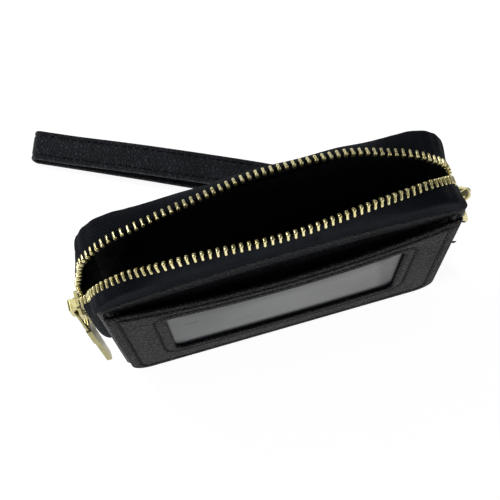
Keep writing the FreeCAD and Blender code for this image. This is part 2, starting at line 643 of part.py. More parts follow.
# ---- ring and its tab ---------------------------------------------------------------------
def ring_frame(y, drop):
    """A place in the tilted ring's own plane: y along its bar, drop away from the bar."""
    tilt = math.radians(RING_TILT)
    return Vec(RING_X + drop * math.sin(tilt), y, RING_Z - drop * math.cos(tilt))


def ring():
    """The D-ring: a bar, two legs and an arc."""
    left, right = ring_frame(-RING_HALF, 0), ring_frame(RING_HALF, 0)
    left_end, right_end = ring_frame(-RING_HALF, RING_LEG), ring_frame(RING_HALF, RING_LEG)
    arc = Part.makeTorus(RING_HALF, RING_WIRE, Vec(0, 0, 0), Z_AXIS, 0, 360, 180)
    down = unit(ring_frame(0, 1) - ring_frame(0, 0))
    arc = in_frame(arc, ring_frame(0, RING_LEG), Y_AXIS, Y_AXIS.cross(down))
    shape = rod(RING_WIRE, left, right)
    shape = shape.fuse([rod(RING_WIRE, left, left_end), rod(RING_WIRE, right, right_end),
                        Part.makeSphere(RING_WIRE, left), Part.makeSphere(RING_WIRE, right), arc])
    save("d_ring", shape.removeSplitter())


def ring_tab():
    """The leather tab that holds the ring's bar against the gusset."""
    bore = RING_WIRE + PIN_CLEAR
    outer = bore + TAB_LEATHER
    foot = LENGTH / 2 - GUSSET_INSET + PLY_GAP
    bar = Vec(RING_X, 0, RING_Z)
    face = foot + TAB_FOOT_LEATHER
    low = RING_Z - TAB_DROP
    roll = rod(outer, bar - Y_AXIS * TAB_HALF, bar + Y_AXIS * TAB_HALF)
    points = [Vec(foot, 0, RING_Z + TAB_RISE), Vec(RING_X, 0, RING_Z + outer), Vec(RING_X, 0, RING_Z - outer),
              Vec(face, 0, RING_Z - 4.0), Vec(face, 0, low), Vec(foot, 0, low)]
    tail = Part.Face(Part.makePolygon(points + points[:1])).extrude(Vec(0, 2 * TAB_HALF, 0))
    tail.translate(Vec(0, -TAB_HALF, 0))
    hole = rod(bore, bar - Y_AXIS * 9, bar + Y_AXIS * 9)
    save("ring_tab", roll.fuse(tail).cut(hole).removeSplitter())
    places = along_line(Vec(face, 0.8 - TAB_HALF, low + 1.4), Vec(face, TAB_HALF - 0.8, low + 1.4))
    save("ring_tab_stitching", Part.Compound([stitch(p, run, X_AXIS) for p, run in places]))


# ---- clasp, gate and swivel ---------------------------------------------------------------
WIRE_IN_HOOK = Vec(-1.1, 0, -1.4)            # the ring's wire inside the hook, in the clasp's axes


def clasp_frame():
    """Origin at the hook's centre, x towards the gate, z towards the strap."""
    turn = math.radians(CLASP_ON_RING)
    contact = ring_frame(RING_HALF * math.cos(turn), RING_LEG + RING_HALF * math.sin(turn))
    up = unit(ring_frame(0, 0) - ring_frame(0, 1))
    through = unit(Y_AXIS * -math.sin(turn) - up * math.cos(turn))
    z_dir = across(CLASP_AXIS, through)
    x_dir = through.cross(z_dir)
    origin = contact - x_dir * WIRE_IN_HOOK.x - z_dir * WIRE_IN_HOOK.z
    return origin, x_dir, z_dir


CLASP_ORIGIN, CLASP_X, CLASP_Z = clasp_frame()
EYE_DIRECTION = across(STRAP_LATERAL, CLASP_Z)


def clasp():
    """The hook with its body and barrel, the gate on its pin, and the leaf spring behind the gate."""
    half, pivot, through = CLASP_HALF, GATE_PIVOT, Y_AXIS * 9
    ring = rod(HOOK_OUTER, Y_AXIS * -half, Y_AXIS * half).cut(rod(HOOK_INNER, -through, through))
    neck_top = CLASP_BODY_END - 1
    body = rod(HOOK_OUTER, Y_AXIS * -half, Y_AXIS * half)
    body = body.fuse([box(CLASP_BODY_LEFT, CLASP_BODY_RIGHT, -half, half, CLASP_BODY_TOP, CLASP_BODY_END),
                      box(-CLASP_NECK_HALF, CLASP_NECK_HALF, -half, half, neck_top, BARREL_TOP + 1),
                      rod(BARREL_RADIUS, Vec(0, 0, BARREL_TOP), Vec(0, 0, BARREL_END))])
    body = body.cut(rod(HOOK_INNER, -through, through))
    body = body.cut(box(HOOK_MOUTH_LEFT, 9, -9, 9, HOOK_MOUTH_TOP, HOOK_MOUTH_END))
    body = body.fuse(ring.cut(box(HOOK_TIP_LEFT, 9, -9, 9, HOOK_MOUTH_TOP, 9)))
    body = body.cut(box(SLOT_LEFT, 9, -CLASP_SLOT, CLASP_SLOT, CLASP_BODY_TOP, SLOT_END))
    body = body.cut(rod(GATE_PIN, pivot - through, pivot + through))
    body = body.cut(rod(POST_RADIUS + PIN_CLEAR, Vec(0, 0, BARREL_TOP), Vec(0, 0, BARREL_END + 1)))
    body = body.cut(rod(HEAD_ROOM, Vec(0, 0, BARREL_TOP + POST_HEAD_TOP - HEAD_CLEAR),
                        Vec(0, 0, BARREL_TOP + POST_HEAD_END + HEAD_CLEAR)))
    save("clasp_body", in_frame(body.removeSplitter(), CLASP_ORIGIN, CLASP_X, CLASP_Z))

    pin = rod(GATE_PIN, pivot - Y_AXIS * half, pivot + Y_AXIS * half)
    save("gate_pin", in_frame(pin, CLASP_ORIGIN, CLASP_X, CLASP_Z))
    leaf = box(SPRING_LEFT, SPRING_LEFT + SPRING_LEAF, -SPRING_HALF, SPRING_HALF, SPRING_TOP, SPRING_END)
    save("gate_spring", in_frame(leaf, CLASP_ORIGIN, CLASP_X, CLASP_Z))

    gate = box(GATE_LEFT, GATE_RIGHT, -GATE_HALF, GATE_HALF, GATE_TIP, pivot.z)
    gate = gate.fuse([rod(GATE_ROLL, pivot - Y_AXIS * GATE_HALF, pivot + Y_AXIS * GATE_HALF),
                      box(GATE_RIGHT, GATE_RIGHT + THUMB_REACH, -GATE_HALF, GATE_HALF, THUMB_TOP, THUMB_END)])
    gate = gate.cut(rod(GATE_PIN + PIN_CLEAR, pivot - through, pivot + through))
    save("clasp_gate", in_frame(gate.removeSplitter(), CLASP_ORIGIN, CLASP_X, CLASP_Z))


def swivel():
    """The eye that turns in the clasp's barrel and carries the strap."""
    corners = [Vec(-EYE_HALF, 0, EYE_TOP), Vec(EYE_HALF, 0, EYE_TOP), Vec(EYE_HALF, 0, EYE_BAR),
               Vec(-EYE_HALF, 0, EYE_BAR)]
    head_top, head_end = BARREL_TOP + POST_HEAD_TOP, BARREL_TOP + POST_HEAD_END
    eye = rod(POST_RADIUS, Vec(0, 0, head_end), Vec(0, 0, EYE_TOP))
    eye = eye.fuse(rod(POST_HEAD, Vec(0, 0, head_top), Vec(0, 0, head_end)))
    for k, corner in enumerate(corners):
        eye = eye.fuse([rod(EYE_WIRE, corner, corners[(k + 1) % 4]), Part.makeSphere(EYE_WIRE, corner)])
    save("swivel_eye", in_frame(eye.removeSplitter(), CLASP_ORIGIN, EYE_DIRECTION, CLASP_Z))


# ---- wrist strap --------------------------------------------------------------------------
EYE_CENTRE = CLASP_ORIGIN + CLASP_Z * EYE_BAR


def strap_spine():
    """The line midway between the strap's two layers, from the eye's bar to the far fold."""
    curve = Part.BSplineCurve()
    start = across(STRAP_SPINE[0] - EYE_CENTRE, EYE_DIRECTION)
    end = unit(STRAP_SPINE[-1] - STRAP_SPINE[-2])
    chord = (STRAP_SPINE[0] - EYE_CENTRE).Length
    curve.interpolate(Points=[EYE_CENTRE] + STRAP_SPINE,
                      InitialTangent=start * chord, FinalTangent=end * chord)
    return curve


SPINE = strap_spine()
SPINE_LENGTH = SPINE.length()


def strap_frame(run):
    """Place, direction, direction across and upward direction at a distance along the spine."""
    parameter = SPINE.parameterAtDistance(min(max(run, 0.0), SPINE_LENGTH))
    place, along = SPINE.value(parameter), unit(SPINE.tangent(parameter)[0])
    share = min(1.0, run / 40.0)
    lateral = across(EYE_DIRECTION * (1 - share) + STRAP_LATERAL * share, along)
    return place, along, lateral, unit(lateral.cross(along) * -1)


def layer_point(run, side):
    """A place on the middle of a layer: side is 1 for the upper layer and -1 for the lower one."""
    place, along, lateral, up = strap_frame(run)
    return place + up * (side * hermite(STRAP_GAPS, run, 1)), lateral


def strap_course():
    """The middle line of the whole strap, as places with the direction across it."""
    course, start = [], KEEPER_AT
    for k in range(5):
        course.append(layer_point(start * (1 - k / 5), -1))
    place, along, lateral, up = strap_frame(0)
    for k in range(1, 6):
        turn = math.pi * k / 6
        back, over = EYE_FOLD * math.sin(turn), EYE_FOLD * math.cos(turn)
        course.append((place - along * back - up * over, lateral))
    for k in range(STRAP_STATIONS):
        course.append(layer_point(SPINE_LENGTH * k / (STRAP_STATIONS - 1), 1))
    place, along, lateral, up = strap_frame(SPINE_LENGTH)
    for k in range(1, 6):
        turn = math.pi * k / 6
        ahead, over = FAR_FOLD * math.sin(turn), FAR_FOLD * math.cos(turn)
        course.append((place + along * ahead + up * over, lateral))
    lower = SPINE_LENGTH - start - 0.2
    for k in range(STRAP_STATIONS):
        course.append(layer_point(SPINE_LENGTH - lower * k / (STRAP_STATIONS - 1), -1))
    return course


def strap():
    """The leather loop, the keeper that binds its two layers, and its stitches."""
    shares = (-0.5, -0.25, 0, 0.25, 0.5)
    grid = [[place + lateral * (STRAP_WIDTH * share) for share in shares]
            for place, lateral in strap_course()]
    save("strap_loop", thick_sheet(grid, STRAP_THICKNESS))

    place, along, lateral, up = strap_frame(KEEPER_AT)
    gap = hermite(STRAP_GAPS, KEEPER_AT, 1)
    inner_half, inner_height = STRAP_WIDTH / 2 + 0.25, gap + STRAP_THICKNESS / 2 + 0.6
    outer_half, outer_height = inner_half + KEEPER_LEATHER, inner_height + KEEPER_LEATHER
    run = KEEPER_LENGTH / 2
    keeper = box(-outer_half, outer_half, -outer_height, outer_height, -run, run)
    corners = [edge for edge in keeper.Edges if abs(edge.Length - KEEPER_LENGTH) < 0.01]
    keeper = keeper.makeFillet(0.8, corners)
    keeper = keeper.cut(box(-inner_half, inner_half, -inner_height, inner_height, -run - 1, run + 1))
    save("strap_keeper", in_frame(keeper, place, lateral, along))

    stitches = []
    first, last = KEEPER_AT + KEEPER_LENGTH / 2 + 2, SPINE_LENGTH - 2
    count = int((last - first) / STITCH_PITCH)
    for k in range(count):
        centre = first + (last - first) * (k + 0.5) / count
        middle, lateral = layer_point(centre, 1)
        ahead, _ = layer_point(centre + 0.5, 1)
        along = unit(ahead - middle)
        outward = unit(along.cross(lateral))
        for edge in (-1, 1):
            base = middle + lateral * (edge * (STRAP_WIDTH / 2 - 1.6)) + outward * (STRAP_THICKNESS / 2)
            stitches.append(stitch(base, along, outward))
    save("strap_stitching", Part.Compound(stitches))


os.makedirs("parts", exist_ok=True)
panel_plies()
inner_pocket()
gusset()
pocket()
pocket_stitching()
zip_rows()
slider()
pull()
ring()
ring_tab()
clasp()
swivel()
strap()
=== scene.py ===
from math import atan2, copysign, cos, exp, pi, radians, sin, sqrt, tan, tau

import bmesh
import bpy
import numpy as np
from mathutils import Matrix, Vector, noise


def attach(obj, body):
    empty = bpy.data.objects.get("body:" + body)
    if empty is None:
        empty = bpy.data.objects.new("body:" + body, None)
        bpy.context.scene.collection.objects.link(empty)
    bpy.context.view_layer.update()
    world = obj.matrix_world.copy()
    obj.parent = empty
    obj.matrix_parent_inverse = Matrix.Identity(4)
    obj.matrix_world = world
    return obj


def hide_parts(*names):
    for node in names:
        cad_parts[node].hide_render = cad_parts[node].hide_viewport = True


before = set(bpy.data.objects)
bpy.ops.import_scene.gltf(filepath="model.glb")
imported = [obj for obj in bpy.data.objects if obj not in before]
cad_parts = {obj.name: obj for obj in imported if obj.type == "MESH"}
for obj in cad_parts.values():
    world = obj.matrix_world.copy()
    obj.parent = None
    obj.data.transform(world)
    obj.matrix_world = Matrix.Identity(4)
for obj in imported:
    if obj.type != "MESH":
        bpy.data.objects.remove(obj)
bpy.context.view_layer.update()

# Lengths in this script are millimetres until a mesh is made; the frame is in metres.
MM = 0.001

# ---- sizes that the looks share with the frame ----
LENGTH, HEIGHT, TOP_RADIUS, BASE_RADIUS = 124.0, 88.0, 14.5, 8.5
LEAN = radians(4.0)
LEATHER, BOARD, LINING, PLY_GAP, POCKET_GAP, CLEAR = 1.2, 0.6, 0.3, 0.05, 0.15, 0.4
POCKET_STACK = LEATHER + CLEAR + POCKET_GAP + LINING + POCKET_GAP
SEAM_HALF = 6.8
FRONT_FACE, BACK_FACE = SEAM_HALF + LEATHER + POCKET_STACK, SEAM_HALF + LEATHER
PANEL_DEPTH = {-1: POCKET_STACK, 1: 0.0}
LINING_INSET = 2.5
POCKET_LENGTH, POCKET_HEIGHT, POCKET_BOW = 121.0, 75.0, 3.6
WINDOW_HALF, WINDOW_BASE, WINDOW_TOP, WINDOW_RADIUS = 42.0, 17.5, 61.5, 3.5
GUSSET_IN, GUSSET_LEFT, GUSSET_RIGHT, LINING_RIGHT = 0.8, 41.5, 63.0, 77.0
LEATHER_TOP, EDGE_ENDS, EDGE_MIDDLE, EDGE_HALF = 80.0, 77.0, 83.0, 61.0
HEM_LAP, SIDE_HEM = 1.5, 4.0
STITCH_PITCH = 3.1


# ---- vectors ----
def vec(*numbers):
    return np.array(numbers, float)


def unit(v):
    v = np.asarray(v, float)
    return v / np.maximum(np.linalg.norm(v, axis=-1, keepdims=True), 1e-12)


def across(v, direction):
    """The part of v that is square to a unit direction, with length 1."""
    return unit(v - direction * np.dot(v, direction))


def distances(path):
    """How far along a line of points each point lies."""
    return np.concatenate([[0], np.cumsum(np.linalg.norm(np.diff(path, axis=0), axis=1))])


def along_line(at, run, path):
    """The point at a distance along a line of points; run holds the distance of each point."""
    return np.array([np.interp(at, run, path[:, c]) for c in range(3)])


def cubic(t, span, start, start_slope, end, end_slope):
    """A cubic between two values with given slopes, at the share t of its span."""
    return ((2 * t ** 3 - 3 * t ** 2 + 1) * start + (t ** 3 - 2 * t ** 2 + t) * span * start_slope
            + (3 * t ** 2 - 2 * t ** 3) * end + (t ** 3 - t ** 2) * span * end_slope)


def bump(x, middle, width):
    """1 at the middle, falling smoothly to 0."""
    return np.exp(-((x - middle) / width) ** 2)


def smooth(x, low, high):
    t = np.clip((x - low) / (high - low), 0, 1)
    return t * t * (3 - 2 * t)


def wave_noise(x, y, z, scale, seed):
    """Smooth noise between about -1 and 1 at each place (x, z) of a plane at y."""
    points = np.stack([x, np.full_like(x, y), z], axis=-1)
    return np.array([noise.noise(Vector(p * scale) + Vector((seed, seed * 1.7, -seed))) for p in points])


# ---- meshes ----
def piece(name, points, faces, body, finish, replaced=(), uv=None):
    """A mesh object that rides on a body, from points in millimetres; its finish is a slot's name, which is
    not used, and a material.
    """
    mesh = bpy.data.meshes.new(name)
    mesh.from_pydata((np.asarray(points, float).reshape(-1, 3) * MM).tolist(), [], faces)
    if uv is not None:
        layer = mesh.uv_layers.new(name="UVMap")
        loops = np.empty(len(mesh.loops), int)
        mesh.loops.foreach_get("vertex_index", loops)
        layer.data.foreach_set("uv", np.asarray(uv, float).reshape(-1, 2)[loops].ravel())
    made = bmesh.new()
    made.from_mesh(mesh)
    bmesh.ops.recalc_face_normals(made, faces=made.faces)
    made.to_mesh(mesh)
    made.free()
    mesh.polygons.foreach_set("use_smooth", [True] * len(mesh.polygons))
    mesh.materials.append(finish[1])
    obj = bpy.data.objects.new(name, mesh)
    bpy.context.scene.collection.objects.link(obj)
    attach(obj, body)
    if replaced:
        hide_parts(*replaced)
    return obj


def loft_faces(rows, columns, round_rows=False):
    """Faces over loops of points that are closed across; the first and last loop get caps."""
    faces = []
    for i in range(rows if round_rows else rows - 1):
        a, b = i * columns, ((i + 1) % rows) * columns
        for j in range(columns):
            k = (j + 1) % columns
            faces.append((a + j, a + k, b + k, b + j))
    if not round_rows:
        faces.append(tuple(range(columns)))
        faces.append(tuple((rows - 1) * columns + j for j in range(columns)))
    return faces


def loft_piece(name, loops, body, finish, replaced, uv=None, hollow=False):
    return piece(name, loops, loft_faces(len(loops), len(loops[0]), hollow), body, finish, replaced, uv)


def grid_uv(u, v):
    return np.stack(np.broadcast_arrays(u[:, None], v), axis=-1) * MM


def there_and_back(values, rim):
    """Values across a sheet: over its face, held round a rim, back underneath, held round the other rim."""
    return np.concatenate([values, np.repeat(values[..., -1:, :], rim, -2), values[..., ::-1, :],
                           np.repeat(values[..., :1, :], rim, -2)], axis=-2)


def sheet_loops(grid, thickness, rim):
    """Loops round a curved sheet with rounded edges; the sheet is thickened to both sides of the grid."""
    along = unit(np.gradient(grid, axis=0))
    over = unit(np.gradient(grid, axis=1))
    normal = unit(np.cross(along, over))
    half = thickness / 2
    middle = grid.copy()
    middle[:, 0] += over[:, 0] * half
    middle[:, -1] -= over[:, -1] * half
    turns = [pi * (k + 1) / (rim + 1) for k in range(rim)]
    far = [middle[:, -1] + (normal[:, -1] * cos(t) + over[:, -1] * sin(t)) * half for t in turns]
    near = [middle[:, 0] + (-normal[:, 0] * cos(t) - over[:, 0] * sin(t)) * half for t in turns]
    loops = np.concatenate([middle + normal * half, np.stack(far, 1), (middle - normal * half)[:, ::-1],
                            np.stack(near, 1)], axis=1)
    ends = []
    for row, source in ((0, along[0]), (-1, along[-1])):
        centre = there_and_back(middle[row], rim)
        thin = centre + (loops[row] - centre) * 0.5
        ends.append(thin + there_and_back(source, rim) * half * 0.8 * (-1 if row == 0 else 1))
    return np.concatenate([ends[0][None], loops, ends[1][None]])


def sheet_piece(name, grid, thickness, finish, replaced, rim=4):
    """A curved sheet on the wallet with its lengths along and across as UV, in metres."""
    loops = sheet_loops(grid, thickness, rim)
    u = distances(grid.mean(1))
    v = np.array([distances(row) for row in grid])
    v = there_and_back((v - v[:, -1:])[..., None], rim)[..., 0]
    u, v = (np.concatenate([values[:1], values, values[-1:]]) for values in (u, v))
    return loft_piece(name, loops, "wallet", finish, replaced, grid_uv(u, v))


# ---- walls and outlines ----
def wall(side, x, depth, height):
    """Points in a leaning wall: depth is measured inwards from the wall's outer face."""
    x, depth, height = np.broadcast_arrays(np.asarray(x, float), depth, height)
    face = FRONT_FACE if side < 0 else BACK_FACE
    y = face - depth * cos(LEAN) + height * sin(LEAN)
    return np.stack([x, side * y, depth * sin(LEAN) + height * cos(LEAN)], axis=-1)


def pocket_bow(x, z):
    return POCKET_BOW * (1 - (2 * x / POCKET_LENGTH) ** 2) * z / POCKET_HEIGHT


def leather_edge(x):
    """Height of the leather's arched top edge; the wall above it is woven band."""
    return EDGE_ENDS + (EDGE_MIDDLE - EDGE_ENDS) * (1 - np.minimum(np.abs(x) / EDGE_HALF, 1) ** 2)


def arched(x, z):
    """A straight-topped plate's places moved up or down to the arched edge."""
    return x, z + smooth(z, 60.0, LEATHER_TOP) * (leather_edge(x) - LEATHER_TOP)


ARC, SIDE, LONG = 12, 30, 56


def outline(half, low, high, base_radius, top_radius, inset=0.0):
    """Points of a rounded rectangle, always the same number at the same places round it."""
    half, low, high = half - inset, low + inset, high - inset
    base, top = max(base_radius - inset, 0.2), max(top_radius - inset, 0.2)
    corners = [(half - base, low + base, base, -90), (half - top, high - top, top, 0),
               (top - half, high - top, top, 90), (base - half, low + base, base, 180)]
    arcs = []
    for x, z, radius, start in corners:
        turns = np.radians(np.linspace(start, start + 90, ARC + 1))
        arcs.append(np.stack([x + radius * np.cos(turns), z + radius * np.sin(turns)], axis=-1))
    runs = []
    for k, count in enumerate((SIDE, LONG, SIDE, LONG)):
        runs += [arcs[k], np.linspace(arcs[k][-1], arcs[(k + 1) % 4][0], count + 1)[1:-1]]
    return np.concatenate(runs)


def edge_distance(x, z, half, low, high, base_radius, top_radius):
    """Distance inwards from a rounded rectangle's edge."""
    middle = (low + high) / 2
    radius = np.where(z > middle, top_radius, base_radius)
    qx = np.abs(x) - half + radius
    qz = np.abs(z - middle) - (high - low) / 2 + radius
    outside = np.hypot(np.maximum(qx, 0), np.maximum(qz, 0))
    return radius - outside - np.minimum(np.maximum(qx, qz), 0)


def toward_middle(points, low, high, share):
    """Loops that close in on the outline's long middle line."""
    middle, reach = (low + high) / 2, np.abs(points[:, 0]).max() - (high - low) / 2
    core = np.stack([np.clip(points[:, 0], -reach, reach), np.full(len(points), middle)], axis=-1)
    return points + (core - points) * share


PLATE_INSETS = [0.12, 0.4, 0.9, 1.5, 1.9, 2.2, 2.5, 2.9, 3.4, 4.0, 5.0, 6.5, 8.5]
PLATE_SHARES = [0.12, 0.28, 0.46, 0.64, 0.8, 0.9]


def ply_piece(name, side, sizes, layers, finish, replaced, bow=None, warp=None, hollow=False):
    """A ply of a wall from layers: places (x, z), their depth, and surface(x, z, distance) or None."""
    loops = []
    for flat, depth, surface in layers:
        x, z = flat.T
        sink = surface(x, z, edge_distance(x, z, *sizes)) if surface else 0.0
        lift = bow(x, z) if bow else 0.0
        if warp:
            x, z = warp(x, z)
        loops.append(wall(side, x, depth + sink - lift, z))
    loops = np.stack(loops)
    return loft_piece(name, loops, "wallet", finish, replaced, loops[:, :, [0, 2]] * MM, hollow)


def plate_piece(name, side, sizes, outer, thickness, finish, replaced, surface=None, bow=None, warp=None):
    """A flat ply with rounded edges, from its outer face inwards."""
    inner = outer + thickness
    round_off = min((inner - outer) / 2, 0.6)
    face = [outline(*sizes, inset=round_off + inset) for inset in PLATE_INSETS]
    face += [toward_middle(face[-1], sizes[1], sizes[2], share) for share in PLATE_SHARES]
    layers = [(flat, outer, surface) for flat in reversed(face)]
    for turn in [pi * k / 6 for k in range(7)]:
        layers.append((outline(*sizes, inset=round_off * (1 - sin(turn))),
                       (outer + inner) / 2 - (inner - outer) / 2 * cos(turn), None))
    layers += [(flat, inner, None) for flat in face]
    return ply_piece(name, side, sizes, layers, finish, replaced, bow, warp)


# ---- stitches ----
def capsule(length, width, height):
    """One stitch about the origin: a rounded bar along X with its ends turned down."""
    rows, columns = 7, 8
    t, turns = np.linspace(-1, 1, rows)[:, None], tau * np.arange(columns) / columns
    swell = np.sqrt(np.maximum(1 - abs(t) ** 3, 0.04))
    points = np.broadcast_arrays(t * length / 2, np.cos(turns) * width / 2 * swell,
                                 np.sin(turns) * height / 2 * swell - 0.12 * t * t)
    return np.stack(points, axis=-1).reshape(-1, 3), loft_faces(rows, columns)


def joined(parts):
    """Several pairs of points and faces as one pair."""
    points, faces = np.zeros((0, 3)), []
    for more, more_faces in parts:
        faces += [tuple(v + len(points) for v in f) for f in more_faces]
        points = np.concatenate([points, more])
    return points, faces


def placed(shape, places):
    """Copies of one shape: each place is a middle, a direction along and an outward direction."""
    points, faces = shape
    parts = []
    for middle, along, outward in places:
        side = unit(np.cross(outward, along))
        axes = np.stack([along, side, np.cross(along, side)])
        parts.append((middle + points @ axes, faces))
    return joined(parts)


def seam_places(path, normals, pitch=STITCH_PITCH, skew=0.05):
    """Stitches at even distances along a line of points."""
    run = distances(path)
    count = max(1, int(run[-1] / pitch))
    places = []
    for k in range(count):
        at = run[-1] * (k + 0.5) / count
        here, ahead = along_line(at - 0.3, run, path), along_line(at + 0.3, run, path)
        outward = unit(along_line(at, run, normals))
        along = across(ahead - here, outward)
        along = unit(along + np.cross(outward, along) * skew)
        places.append(((here + ahead) / 2, along, outward))
    return places


STITCH_SHAPE = capsule(2.5, 0.62, 0.5)


def stitch_piece(name, body, places, replaced=()):
    stitches, faces = placed(STITCH_SHAPE, places)
    piece(name, stitches, faces, body, THREAD, replaced)


# ---- the zip's two rows ----
ZIP_START, ZIP_END = 42.0, 64.0
TAPE, TAPE_EDGE, TOOTH_PITCH, FIRST_TOOTH, LAST_TOOTH = 0.6, 0.8, 2.4, 3.6, 178.0
FRONT_ROW = [(0, 0, 5), (4, 0, 5), (7, 1.1, 5), (20.5, 1.4, 4.9), (27, 2.9, 1.7), (33, 4.8, 0.6),
             (39, 6.4, 0.4), (46, 7.6, 1.0), (54, 9.0, 4.4), (64, 11.6, 9.0), (78, 12.9, 11.2),
             (102, 14.2, 11), (126, 11.9, 10.3), (146, 8.0, 5.4), (158, 4.6, 0.4), (169, 1.7, -0.5),
             (182, 1.1, -0.4)]
BACK_ROW = [(0, 0, 5), (4, 0, 5), (7, 1.1, 5), (25, 1.3, 4.8), (34, 2.0, 2.4), (44, 2.4, 2.6), (56, 3.4, 4.6),
            (78, 5.9, 7.8), (102, 8.2, 9.6), (126, 7.8, 8.4), (146, 4.6, 3.4), (158, 2.0, -0.2),
            (169, 1.2, -0.5), (182, 1.1, -0.4)]
TAPE_DEPTH, BAND_DEPTH = LEATHER + TAPE / 2 + PLY_GAP, TAPE / 2 + 0.12
SIDE_RUN = HEIGHT - TOP_RADIUS - ZIP_START
CORNER_RUN = pi / 2 * TOP_RADIUS
TOP_RUN = LENGTH - 2 * TOP_RADIUS
ZIP_LENGTH = SIDE_RUN + 2 * CORNER_RUN + TOP_RUN + HEIGHT - TOP_RADIUS - ZIP_END


def hermite(stations, at, column):
    """A smooth value between stations, with no overshoot."""
    places = [row[0] for row in stations]
    values = [row[column] for row in stations]
    at = min(max(at, places[0]), places[-1])
    k = max(i for i in range(len(places) - 1) if places[i] <= at)
    secants = [(b - a) / (q - p) for a, b, p, q in zip(values, values[1:], places, places[1:])]

    def slope(i):
        if i == 0 or i == len(secants) or secants[i - 1] * secants[i] <= 0:
            return 0.0
        return 2 * secants[i - 1] * secants[i] / (secants[i - 1] + secants[i])

    span = places[k + 1] - places[k]
    return cubic((at - places[k]) / span, span, values[k], slope(k), values[k + 1], slope(k + 1))


def panel_edge(s):
    """Place (x, z) on the panel's edge and the outward direction, at a distance from the zip's start."""
    from_middle = s - (SIDE_RUN + CORNER_RUN + TOP_RUN / 2)
    sign, past_top = copysign(1, from_middle), abs(from_middle) - TOP_RUN / 2
    if past_top <= 0:
        return vec(from_middle, HEIGHT), vec(0, 1)
    turn = min(past_top / TOP_RADIUS, pi / 2)
    outward = vec(sign * sin(turn), cos(turn)) if past_top < CORNER_RUN else vec(sign, 0)
    corner = vec(sign * (LENGTH / 2 - TOP_RADIUS), HEIGHT - TOP_RADIUS - max(past_top - CORNER_RUN, 0))
    return corner + outward * TOP_RADIUS, outward


# How far the open rows' teeth turn up with the tape; at 0 they point straight across the mouth.
TOOTH_LEAN = {-1: 0.7, 1: 0.42}


